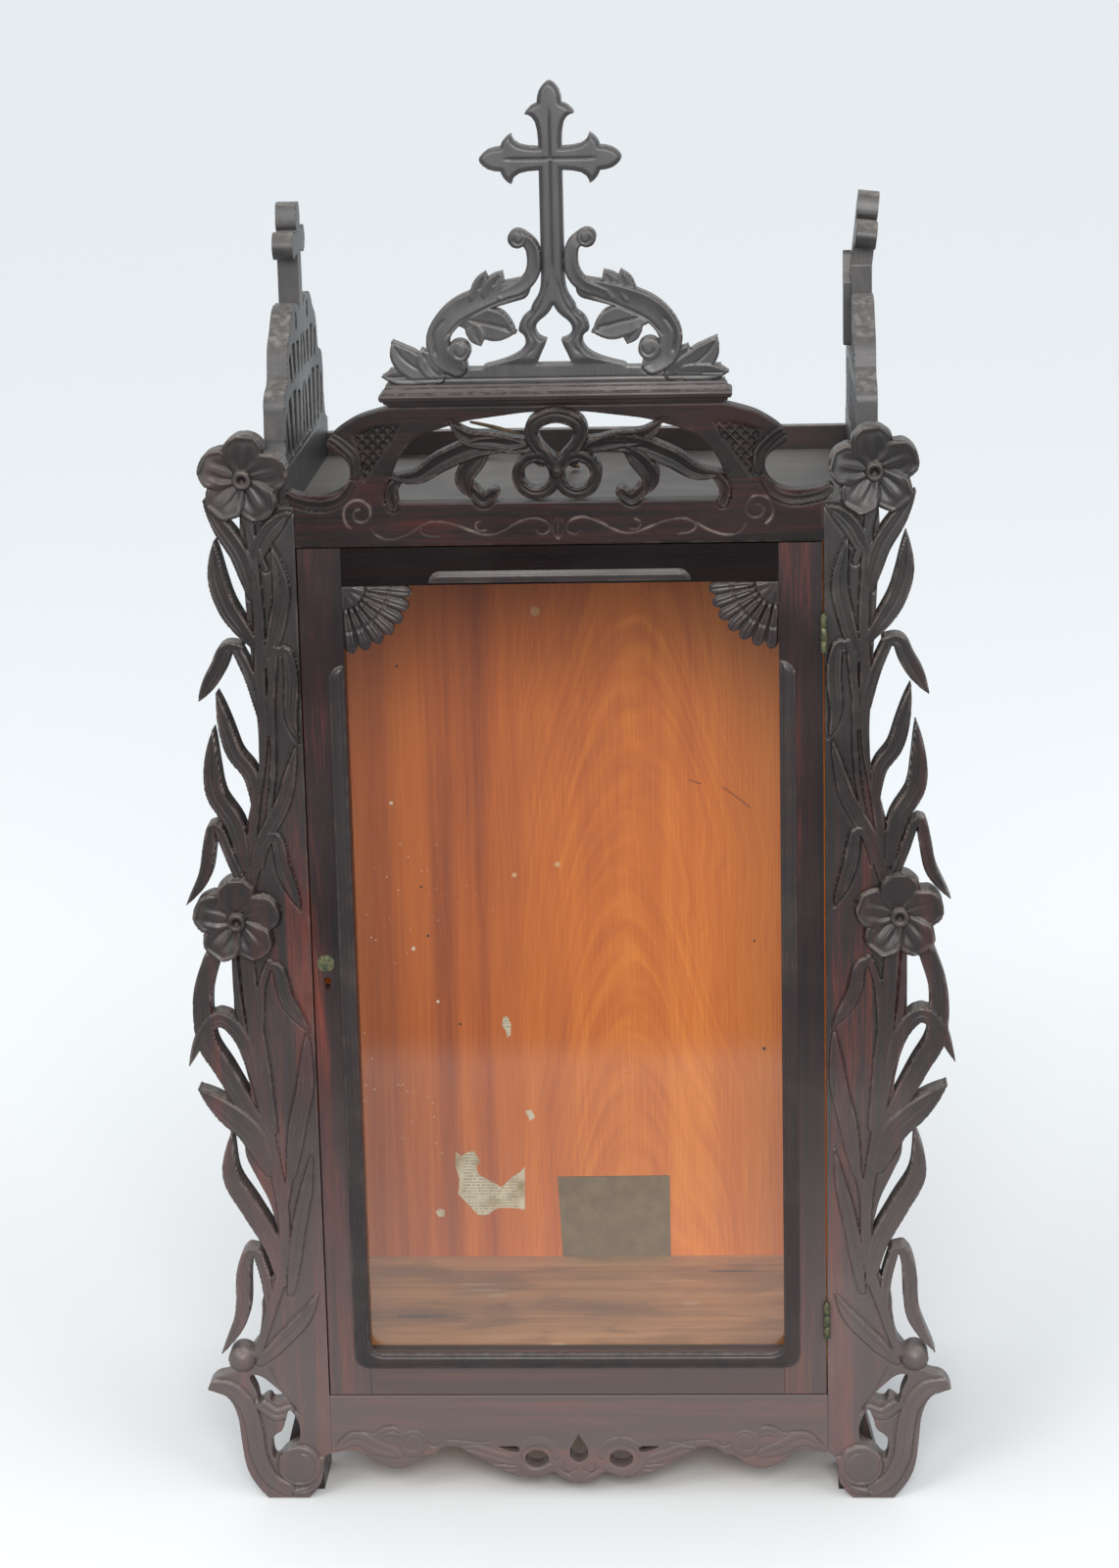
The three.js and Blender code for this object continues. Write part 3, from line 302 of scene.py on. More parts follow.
class Carving:
    """A board's outline and the height of its face, drawn on a fine grid in millimetres."""

    def __init__(self, low: Point, high: Point, pitch: float) -> None:
        """Sets out the grid between two corners.

        Args:
            low: The lowest place across and up.
            high: The highest place across and up.
            pitch: The grid's step.
        """
        self.pitch = pitch * 1
        self.a = np.arange(low[0] - 2.37 * self.pitch, high[0] + 3 * self.pitch, self.pitch)
        self.z = np.arange(low[1] - 2.37 * self.pitch, high[1] + 3 * self.pitch, self.pitch)
        self.ga, self.gz = np.meshgrid(self.a, self.z)
        self.inside = np.full(self.ga.shape, -60.0)
        self.height = np.zeros(self.ga.shape)
        self.leafy = np.zeros(self.ga.shape)
        self.beside = np.zeros(self.ga.shape)
        self.scored = np.zeros(self.ga.shape)

    def near(self, path: np.ndarray, reach: float) -> tuple[tuple[slice, slice], np.ndarray, np.ndarray]:
        """The part of the grid around a path.

        Args:
            path: The path's points.
            reach: How far around them the part goes.

        Returns:
            The part's place in the grid, and its distances across and its heights.
        """
        p = np.asarray(path, float)
        spans = []
        for line, values in ((self.z, p[:, 1]), (self.a, p[:, 0])):
            first = int(np.searchsorted(line, values.min() - reach))
            last = int(np.searchsorted(line, values.max() + reach))
            spans.append(slice(max(0, first - 1), max(1, min(len(line), last + 1))))
        window = (spans[0], spans[1])
        return window, self.ga[window], self.gz[window]

    def board(self, outline: Path, holes: Iterable[Path] = ()) -> None:
        """Adds a flat board.

        Args:
            outline: Its outline.
            holes: The holes through it.
        """
        depth = outline_depth(outline, self.ga, self.gz)
        for hole in holes:
            window, a, z = self.near(np.asarray(hole), 30)
            depth[window] = np.minimum(depth[window], -outline_depth(hole, a, z))
        self.inside = np.maximum(self.inside, depth)

    def raise_to(self, window: tuple[slice, slice], edge: np.ndarray, top: np.ndarray) -> None:
        """Lifts the face where a form covers it, and marks the ground beside the form.

        Args:
            window: The part of the grid.
            edge: How far each place lies inside the form.
            top: The form's height there.
        """
        covered = edge > 0
        self.height[window] = np.where(covered, np.maximum(self.height[window], top), self.height[window])
        self.leafy[window] = np.maximum(self.leafy[window], eased(edge, -0.4, 0.8))
        self.beside[window] = np.maximum(self.beside[window], np.exp(-((np.clip(-edge, 0, None) / 1.7) ** 2)))

    def leaf(self, leaf: Leaf) -> None:
        """Carves rounded rims round a sunk middle with a fine vein.

        Args:
            leaf: The leaf, stem or band.
        """
        path = smooth_path(leaf.spine, 26)
        window, a, z = self.near(path, leaf.width / 2 + 7)
        share, away, side = along_path(path, a, z)
        width = leaf.form.width(share)
        half = leaf.width / 2 * width
        edge = half - away
        q = np.clip(away / np.maximum(half, 0.4), 0, 1)
        swell = eased(share, -0.02, 0.2)
        rounded = np.sqrt(np.clip(1 - np.clip(1 - edge / 2.4, 0, 1) ** 2, 0, 1))
        dish = leaf.dish * leaf.rise * (1 - np.clip(q / 0.8, 0, 1) ** 2)
        lines = np.exp(-((away / 0.75) ** 2))
        if leaf.veins > 1:
            lines = lines + 0.7 * np.exp(-(((away - 0.52 * half) / 0.7) ** 2)) * (side > 0)
        lines = 0.75 * lines * eased(share, 0.02, 0.12) * eased(share, 0.97, 0.85) if leaf.veins else 0.0
        crown = leaf.rise * (0.6 + 0.4 * swell)
        top = leaf.foot + crown * rounded - (dish + lines) * swell + leaf.lean * side * q * rounded
        self.raise_to(window, edge, top)
        if leaf.free:
            self.inside[window] = np.maximum(self.inside[window], edge)

    def leaves(self, leaves: Iterable[Leaf]) -> None:
        """Carves each leaf in turn."""
        for leaf in leaves:
            self.leaf(leaf)

    def disc(self, centre: Point, radius: float, rise: float, dome: float = 1.5, free: bool = False) -> None:
        """Raises a round boss with a rounded edge.

        Args:
            centre: The boss's middle.
            radius: Its radius.
            rise: How high its edge stands.
            dome: How much higher its middle is.
            free: Whether it adds to the board's outline.
        """
        window, a, z = self.near(np.asarray([centre]), radius + 6)
        away = np.hypot(a - centre[0], z - centre[1])
        edge = radius - away
        rounded = np.sqrt(np.clip(1 - np.clip(1 - edge / 2.5, 0, 1) ** 2, 0, 1))
        top = rise * rounded + dome * np.clip(1 - (away / radius) ** 2, 0, 1)
        self.raise_to(window, edge, top)
        if free:
            self.inside[window] = np.maximum(self.inside[window], edge)

    def ring(self, centre: Point, radius: float, thick: float, foot: float) -> None:
        """Lays a round ring over what is there.

        Args:
            centre: Its middle.
            radius: The radius of its middle line.
            thick: Half its width, and how far it stands out.
            foot: The height that it stands on.
        """
        window, a, z = self.near(np.asarray([centre]), radius + thick + 3)
        across = np.abs(np.hypot(a - centre[0], z - centre[1]) - radius) / thick
        top = foot + thick * np.sqrt(np.clip(1 - across**2, 0, 1))
        self.raise_to(window, (1 - across) * thick, top)

    def groove(self, path: Path, width: float, depth: float, smooth: bool = True) -> None:
        """Cuts a shallow rounded groove along a path, fading at its ends.

        Args:
            path: The groove's course.
            width: How wide it is.
            depth: How deep it is.
            smooth: Whether it runs in a smooth curve through the points.
        """
        course = smooth_path(path, max(12, 5 * len(path))) if smooth else np.asarray(path, float)
        window, a, z = self.near(course, width * 2)
        share, away, _ = along_path(course, a, z)
        fade = np.clip(np.minimum(share, 1 - share) / 0.06, 0.25, 1)
        self.height[window] -= depth * fade * np.exp(-((away / (width * 0.55)) ** 2))

    def engrave(self, path: Path, width: float) -> None:
        """Scratches a fine line, with pale bare wood in it.

        Args:
            path: The line's course.
            width: How wide it is.
        """
        self.groove(path, width, 0.55)
        course = smooth_path(path, 8 * len(path))
        window, a, z = self.near(course, width * 3)
        _, away, _ = along_path(course, a, z)
        self.scored[window] = np.maximum(self.scored[window], eased(away, width * 0.95, width * 0.35))

    def finish(self, rounding: float = 1.3, sink: float = 0.7) -> None:
        """Sinks the ground beside the carving, rounds the outline's edge and adds the tool's unevenness.

        Args:
            rounding: The radius of the board's front edge.
            sink: How deep the ground is cut beside a raised form.
        """
        self.height -= sink * self.beside * (1 - self.leafy)
        sway = np.sin(self.ga * 0.13 + 2.1 * np.sin(self.gz * 0.043))
        ripple = sway * np.sin(self.gz * 0.09 + self.ga * 0.05)
        self.height += 0.05 * ripple
        short = np.clip(1 - self.inside / rounding, 0, 1)
        self.height -= rounding * (1 - np.sqrt(1 - short**2))


@dataclass
class MeshParts:
    """Corners, faces and surface marks that are gathered into one mesh, in metres."""

    corners: list[np.ndarray] = field(default_factory=list)
    faces: list[tuple[int, ...]] = field(default_factory=list)
    cavity_shade: list[np.ndarray] = field(default_factory=list)
    worn: list[np.ndarray] = field(default_factory=list)
    ground: list[np.ndarray] = field(default_factory=list)
    count: int = 0

    def add(
        self,
        corners: np.ndarray,
        faces: Iterable[Iterable[int]],
        marks: tuple[np.ndarray, np.ndarray, np.ndarray] | None = None,
    ) -> None:
        """Adds a closed body.

        Args:
            corners: Its corners in metres, one a row.
            faces: Its faces as corner numbers.
            marks: How much painted shade each corner gets in hollows, how worn and how much ground it is.
        """
        self.corners.append(corners)
        self.faces.extend(tuple(int(i) + self.count for i in f) for f in faces)
        marks = marks or (np.zeros(len(corners)),) * 3
        for kept, values in zip((self.cavity_shade, self.worn, self.ground), marks):
            kept.append(values)
        self.count += len(corners)

    def piece(self, name: str, body: str, material: Material, sharp: float = 48.0) -> Piece:
        """Makes the Blender object and lets it ride on a body.

        Args:
            name: The object's name.
            body: The body it moves with.
            material: Its finish.
            sharp: The angle in degrees above which an edge stays sharp.

        Returns:
            The object.
        """
        mesh = bpy.data.meshes.new(name)
        mesh.from_pydata(np.concatenate(self.corners).tolist(), [], self.faces)
        mesh.validate()
        work = bmesh.new()
        work.from_mesh(mesh)
        bmesh.ops.recalc_face_normals(work, faces=work.faces)
        work.to_mesh(mesh)
        work.free()
        if len(mesh.vertices) == self.count:
            for label, values in (("cavity_shade", self.cavity_shade), ("worn", self.worn), ("ground", self.ground)):
                mark = mesh.attributes.new(label, "FLOAT", "POINT")
                mark.data.foreach_set("value", np.concatenate(values).astype(np.float32))
        mesh.shade_smooth()
        mesh.set_sharp_from_angle(angle=math.radians(sharp))
        mesh.materials.append(material)
        made = bpy.data.objects.new(name, mesh)
        bpy.context.scene.collection.objects.link(made)
        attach(made, body)
        log.info("%s: %d faces", name, len(mesh.polygons))
        return made


@dataclass(frozen=True)
class Lie:
    """How a board lies: the way its face looks, where the face is, and how thick the board is."""

    facing: Facing
    face: float
    thickness: float
    double: bool = False

    def place(self, a: np.ndarray, z: np.ndarray, depth: np.ndarray) -> np.ndarray:
        """Turns places on the board into places in metres.

        Args:
            a: Distance across.
            z: Height.
            depth: Distance behind the face.

        Returns:
            The places, one a row.
        """
        if self.facing is Facing.FRONT:
            rows = (a, self.face + depth, z)
        elif self.facing is Facing.LEFT:
            rows = (self.face + depth, a, z)
        else:
            rows = (self.face - depth, a, z)
        return np.stack(rows, 1) * MM


def fill_outline(points: np.ndarray, segments: list[tuple[int, int]]) -> list[list[int]]:
    """Flat triangles inside closed loops of points.

    Args:
        points: The points across and up.
        segments: The loops' sides as pairs of point numbers.

    Returns:
        The triangles as point numbers.
    """
    flat = bmesh.new()
    corners = [flat.verts.new((float(a), float(z), 0)) for a, z in points]
    flat.verts.index_update()
    sides = [flat.edges.new((corners[i], corners[j])) for i, j in segments]
    bmesh.ops.triangle_fill(flat, use_beauty=False, use_dissolve=False, edges=sides, normal=(0, 0, 1))
    triangles = [[corner.index for corner in face.verts] for face in flat.faces]
    flat.free()
    return triangles


def board_body(carving: Carving, lie: Lie, parts: MeshParts, move: Matrix | None = None) -> None:
    """Turns a carving into a closed board and adds it to the parts.

    Args:
        carving: The finished carving.
        lie: How the board lies.
        parts: Where it is added.
        move: A turn or shift of the whole board.
    """
    s, h = carving.inside, carving.height
    solid = s > 0
    even = blurred(h, max(2, int(3 / carving.pitch)))
    # Painted shade: how far each corner lies below its evened-out surroundings, later darkened in the
    # material as shade in the hollows; engraved lines are left out.
    cavity_shade = np.clip((even - h) / 0.9, 0, 1)
    cavity_shade = np.where(carving.scored > 0.2, 0, cavity_shade)
    worn = np.maximum(np.clip((h - even) / 0.8, 0, 1), 1.6 * carving.scored)
    layers = [carving.ga, carving.gz, h, cavity_shade, worn, 1 - carving.leafy]
    corner_id = np.full(s.shape, -1)
    corner_id[solid] = np.arange(solid.sum())
    rows = [np.stack([layer[solid] for layer in layers], 1)]
    count = int(solid.sum())
    crossing = []
    for axis in (1, 0):
        near = (slice(None), slice(None, -1)) if axis else (slice(None, -1), slice(None))
        far = (slice(None), slice(1, None)) if axis else (slice(1, None), slice(None))
        cut = solid[near] != solid[far]
        ids = np.full(cut.shape, -1)
        ids[cut] = count + np.arange(cut.sum())
        count += int(cut.sum())
        t = s[near][cut] / (s[near][cut] - s[far][cut])
        start = np.stack([layer[near][cut] for layer in layers], 1)
        end = np.stack([layer[far][cut] for layer in layers], 1)
        kept = np.where(solid[near][cut][:, None], start, end)
        mixed = start + (end - start) * t[:, None]
        mixed[:, 2:] = kept[:, 2:]
        rows.append(mixed)
        crossing.append(ids)
    table = np.concatenate(rows)
    code = sum(solid[i : s.shape[0] - 1 + i, j : s.shape[1] - 1 + j].astype(int) << k
               for k, (i, j) in enumerate(((0, 0), (0, 1), (1, 1), (1, 0))))
    corners = ((0, 0), (0, 1), (1, 1), (1, 0))
    edges = ((crossing[0], 0, 0), (crossing[1], 0, 1), (crossing[0], 1, 0), (crossing[1], 0, 0))
    faces, rim = [], []
    for kind in range(1, 16):
        r, c = np.nonzero(code == kind)
        if len(r) == 0:
            continue
        columns, leaving = [], []
        for k in range(4):
            here, ahead = kind >> k & 1, kind >> (k + 1) % 4 & 1
            if here:
                columns.append(corner_id[r + corners[k][0], c + corners[k][1]])
            if here != ahead:
                if here:
                    leaving.append(len(columns))
                ids, up, across = edges[k]
                columns.append(ids[r + up, c + across])
        cells = np.stack(columns, 1)
        faces.extend(cells.tolist())
        for k in leaving:
            rim.append(cells[:, [k, (k + 1) % len(columns)]])
    sides = np.concatenate(rim)
    front = lie.place(table[:, 0], table[:, 1], -table[:, 2])
    marks = [table[:, 3], table[:, 4], table[:, 5]]
    if lie.double:
        back = lie.place(table[:, 0], table[:, 1], lie.thickness + table[:, 2])
        behind = np.arange(len(table)) + len(table)
        faces.extend([i + len(table) for i in face[::-1]] for face in faces[:])
        marks = [np.concatenate([m, m]) for m in marks]
    else:
        used = np.unique(sides)
        behind = np.full(len(table), -1)
        behind[used] = len(table) + np.arange(len(used))
        back = lie.place(table[used, 0], table[used, 1], np.full(len(used), lie.thickness))
        number = np.full(len(table), -1)
        number[used] = np.arange(len(used))
        loops = [(int(number[i]), int(number[j])) for i, j in sides]
        faces.extend([i + len(table) for i in face] for face in fill_outline(table[used, :2], loops))
        marks = [np.concatenate([m, np.zeros(len(used))]) for m in marks]
    faces.extend([j, i, int(behind[i]), int(behind[j])] for i, j in sides.tolist())
    body = np.concatenate([front, back])
    if move is not None:
        body = np.array([move @ Vector(corner) for corner in body])
    parts.add(body, faces, (marks[0], marks[1], marks[2]))


def carved_piece(carving: Carving, lie: Lie, names: tuple[str, str], body: str, material: Material) -> Piece:
    """Makes a carved board that stands for a CAD node.

    Args:
        carving: The finished carving.
        lie: How the board lies.
        names: The piece's own name and the node's.
        body: The body that it moves with.
        material: Its finish.

    Returns:
        The finished piece.
    """
    parts = MeshParts()
    board_body(carving, lie, parts)
    piece = parts.piece(names[0], body, material)
    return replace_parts(piece, names[1])


def turned_body(parts: MeshParts, profile: Path, centre: Place, axis: Facing | None, sides: int) -> None:
    """Adds a turned body.

    Args:
        parts: Where it is added.
        profile: Radius and distance along the axis, from one end of the axis to the other, in millimetres.
        centre: Where the profile's zero lies, in millimetres.
        axis: FRONT for an axis towards the front, or None for one that points up.
        sides: How many sides it has.
    """
    angles = np.linspace(0, 2 * math.pi, sides, endpoint=False)
    rings = []
    for radius, along in profile:
        r = max(radius, 1e-3)
        u, v = r * np.cos(angles), r * np.sin(angles)
        w = np.full(sides, along)
        rings.append(np.stack((u, -w, v) if axis is Facing.FRONT else (u, v, w), 1) + np.asarray(centre))
    corners = np.concatenate(rings) * MM
    faces = [list(range(sides)), list(range((len(profile) - 1) * sides, len(profile) * sides))]
    for k in range(len(profile) - 1):
        for i in range(sides):
            j = (i + 1) % sides
            faces.append([k * sides + i, k * sides + j, (k + 1) * sides + j, (k + 1) * sides + i])
    parts.add(corners, faces)


def shade(code: str) -> Colour:
    """A colour for the shader.

    Args:
        code: Six hexadecimal figures.

    Returns:
        The colour in linear light.
    """
    parts = [int(code[i : i + 2], 16) / 255 for i in (0, 2, 4)]
    red, green, blue = (c / 12.92 if c <= 0.04045 else ((c + 0.055) / 1.055) ** 2.4 for c in parts)
    return (red, green, blue, 1.0)


class Finish:
    """A material that is set out node by node."""

    def __init__(self, name: str, **values: float | Colour) -> None:
        """Starts the material.

        Args:
            name: Its name.
            values: Plain values for the shader's own sockets, with spaces written as underscores.
        """
        self.material = bpy.data.materials.new(name)
        self.material.use_nodes = True
        self.tree = self.material.node_tree
        self.shader = next(n for n in self.tree.nodes if n.type == "BSDF_PRINCIPLED")
        for key, value in values.items():
            self.shader.inputs[key.replace("_", " ")].default_value = value
        self.coordinates = self.tree.nodes.new("ShaderNodeTexCoord").outputs["Object"]

    def put(self, socket: Socket, value: Socket | float | Colour | Place) -> None:
        """Links a socket to a result, or sets its plain value."""
        if isinstance(value, Socket):
            self.tree.links.new(value, socket)
        else:
            socket.default_value = value

    def surface(self, **results: Socket) -> None:
        """Links results to the shader's sockets, with spaces written as underscores."""
        for key, value in results.items():
            self.put(self.shader.inputs[key.replace("_", " ")], value)

    def math(self, operation: str, first: Socket | float, second: Socket | float = 0.0) -> Socket:
        """Works out one or two values.

        Args:
            operation: What is done, by the node's own name for it.
            first: The first value.
            second: The second value, where the operation has one.

        Returns:
            The result.
        """
        node = self.tree.nodes.new("ShaderNodeMath")
        node.operation = operation
        self.put(node.inputs[0], first)
        self.put(node.inputs[1], second)
        return node.outputs[0]

    def times(self, first: Socket | float, second: Socket | float) -> Socket:
        """The product of two values."""
        return self.math("MULTIPLY", first, second)

    def plus(self, first: Socket | float, second: Socket | float) -> Socket:
        """The sum of two values."""
        return self.math("ADD", first, second)

    def minus(self, first: Socket | float, second: Socket | float) -> Socket:
        """What is left of the first value without the second."""
        return self.math("SUBTRACT", first, second)

    def scaled(self, stretch: Place) -> Socket:
        """The coordinates, stretched along X, Y and Z."""
        node = self.tree.nodes.new("ShaderNodeMapping")
        self.put(node.inputs["Vector"], self.coordinates)
        node.inputs["Scale"].default_value = stretch
        return node.outputs[0]

    def parted(self, vector: Socket) -> tuple[Socket, Socket, Socket]:
        """The three numbers of a vector."""
        node = self.tree.nodes.new("ShaderNodeSeparateXYZ")
        self.put(node.inputs[0], vector)
        return node.outputs[0], node.outputs[1], node.outputs[2]

    def noise(self, vector: Socket, scale: float, detail: float = 3.0, twist: float = 0.0) -> Socket:
        """A soft random pattern.

        Args:
            vector: The coordinates that it lies on.
            scale: How fine it is.
            detail: How many finer layers it has.
            twist: How much it is distorted.

        Returns:
            The pattern's value.
        """
        node = self.tree.nodes.new("ShaderNodeTexNoise")
        self.put(node.inputs["Vector"], vector)
        node.inputs["Scale"].default_value = scale
        node.inputs["Detail"].default_value = detail
        node.inputs["Distortion"].default_value = twist
        return node.outputs["Fac"]

    def spots(self, vector: Socket, scale: float) -> Socket:
        """The distance from scattered points."""
        node = self.tree.nodes.new("ShaderNodeTexVoronoi")
        self.put(node.inputs["Vector"], vector)
        node.inputs["Scale"].default_value = scale
        return node.outputs["Distance"]

    def spread(self, value: Socket, low: float, high: float, start: float = 0.0, end: float = 1.0) -> Socket:
        """Maps a value smoothly from one span to another.

        Args:
            value: The value.
            low: Where the first span starts.
            high: Where the first span ends.
            start: What the low value becomes.
            end: What the high value becomes.

        Returns:
            The mapped value.
        """
        node = self.tree.nodes.new("ShaderNodeMapRange")
        node.interpolation_type = "SMOOTHSTEP"
        for socket, number in zip(list(node.inputs)[1:5], (low, high, start, end)):
            socket.default_value = number
        self.put(node.inputs[0], value)
        return node.outputs[0]

    def ramp(self, value: Socket, stops: list[tuple[float, str]]) -> Socket:
        """Colours laid along a value.

        Args:
            value: The value.
            stops: Each colour's place and code.

        Returns:
            The colour.
        """
        node = self.tree.nodes.new("ShaderNodeValToRGB")
        self.put(node.inputs[0], value)
        line = node.color_ramp.elements
        while len(line) < len(stops):
            line.new(0.5)
        for stop, (place, code) in zip(line, stops):
            stop.position = place
            stop.color = shade(code)
        return node.outputs[0]

    def blend(self, share: Socket | float, first: Socket | Colour, second: Socket | Colour) -> Socket:
        """Mixes two colours.

        Args:
            share: How much of the second colour there is.
            first: The first colour.
            second: The second colour.

        Returns:
            The mixed colour.
        """
        node = self.tree.nodes.new("ShaderNodeMix")
        node.data_type = "RGBA"
        self.put(node.inputs["Factor"], share)
        colours = [socket for socket in node.inputs if socket.type == "RGBA"]
        self.put(colours[0], first)
        self.put(colours[1], second)
        return next(socket for socket in node.outputs if socket.type == "RGBA")

    def mark(self, name: str) -> Socket:
        """A mark that the mesh carries at its corners."""
        node = self.tree.nodes.new("ShaderNodeAttribute")
        node.attribute_name = name
        return node.outputs["Fac"]

    def upward(self) -> Socket:
        """How much the surface looks up, from -1 to 1."""
        node = self.tree.nodes.new("ShaderNodeNewGeometry")
        return self.parted(node.outputs["Normal"])[2]

    def bump(self, height: Socket, distance: float, strength: float = 1.0) -> None:
        """Roughens the surface by a pattern.

        Args:
            height: The pattern.
            distance: How high it stands, in metres.
            strength: How strongly it shows.
        """
        node = self.tree.nodes.new("ShaderNodeBump")
        node.inputs["Strength"].default_value = strength
        node.inputs["Distance"].default_value = distance
        self.put(node.inputs["Height"], height)
        self.put(self.shader.inputs["Normal"], node.outputs[0])


@dataclass(frozen=True)
class DarkWood:
    """Old polished, nearly black rosewood whose red shows low down and where its ground is rubbed, with
    painted shade in its hollows and painted grey haze from the floor's glare near the bottom.
    """

    name: str
    grain: Grain
    dark: str = "120d0e"
    mid: str = "241415"
    red: str = "5a2318"
    redness: float = 0.4
    low_redness: float = 0.0
    painted_haze: float = 0.0
    shine: float = 0.4
    bare: float = 0.15
    dust: float = 0.5
    rough: float = 0.42
    pore_depth: float = 0.00012

    def material(self) -> Material:
        """Sets out the material."""
        shine = self.shine
        f = Finish(self.name, Coat_Weight=0.3 * shine, Coat_Roughness=0.28, Specular_IOR_Level=shine)
        along = f.scaled(self.grain.value)
        fibre = f.noise(along, 420, 5, 0.4)
        figure = f.noise(along, 34, 4, 1.2)
        patch = f.noise(f.coordinates, 5.5, 3)
        pores = f.spread(f.noise(along, 1100, 2), 0.6, 0.72)
        tone = f.plus(f.times(figure, 0.7), f.times(fibre, 0.3))
        body = f.ramp(tone, [(0.36, self.dark), (0.5, self.mid), (0.68, self.red)])
        dark = f.ramp(tone, [(0.35, self.dark), (0.7, self.mid)])
        low = f.spread(f.parted(f.coordinates)[2], 0.95, 0.25, 0.0, self.low_redness)
        bare = f.times(f.mark("ground"), f.plus(low, self.bare))
        redness = self.redness
        worn = f.spread(patch, 0.62 - 0.35 * redness, 0.78 - 0.25 * redness, 0.0, min(1.0, 0.2 + 2 * redness))
        share = f.plus(worn, bare)
        share = f.plus(share, f.times(low, 0.55))
        colour = f.blend(f.math("MINIMUM", share, 1.0), dark, body)
        colour = f.blend(f.times(pores, 0.5), colour, shade("0b0707"))
        # Painted shade: the carving's hollows are darkened towards near black, where shade falls.
        colour = f.blend(f.times(f.mark("cavity_shade"), 0.5), colour, shade("090708"))
        # Painted haze: lower parts are blended towards grey, standing in for glare from the pale floor.
        painted_haze = f.spread(f.parted(f.coordinates)[2], 0.6, 0.08, 0.0, self.painted_haze)
        colour = f.blend(painted_haze, colour, shade("6c605e"))
        scuffed = f.times(f.mark("worn"), f.spread(f.noise(f.coordinates, 60, 4), 0.42, 0.7, 0.05, 0.5))
        colour = f.blend(scuffed, colour, shade("6a5c56"))
        speck = f.spread(f.noise(f.coordinates, 150, 4), 0.4, 0.7, 0.35, 1.0)
        lying = f.times(f.spread(f.upward(), 0.25, 0.95), f.times(speck, self.dust))
        bloom = f.times(f.spread(f.noise(f.coordinates, 14, 4), 0.45, 0.75), 0.10 * self.dust)
        colour = f.blend(f.plus(lying, bloom), colour, shade("8d8780"))
        gloss = f.plus(f.spread(patch, 0.3, 0.7, self.rough - 0.07, self.rough + 0.1), f.times(lying, 0.35))
        f.surface(Base_Color=colour, Roughness=gloss)
        f.bump(f.minus(f.times(fibre, 0.6), pores), self.pore_depth, 0.6)
        return f.material


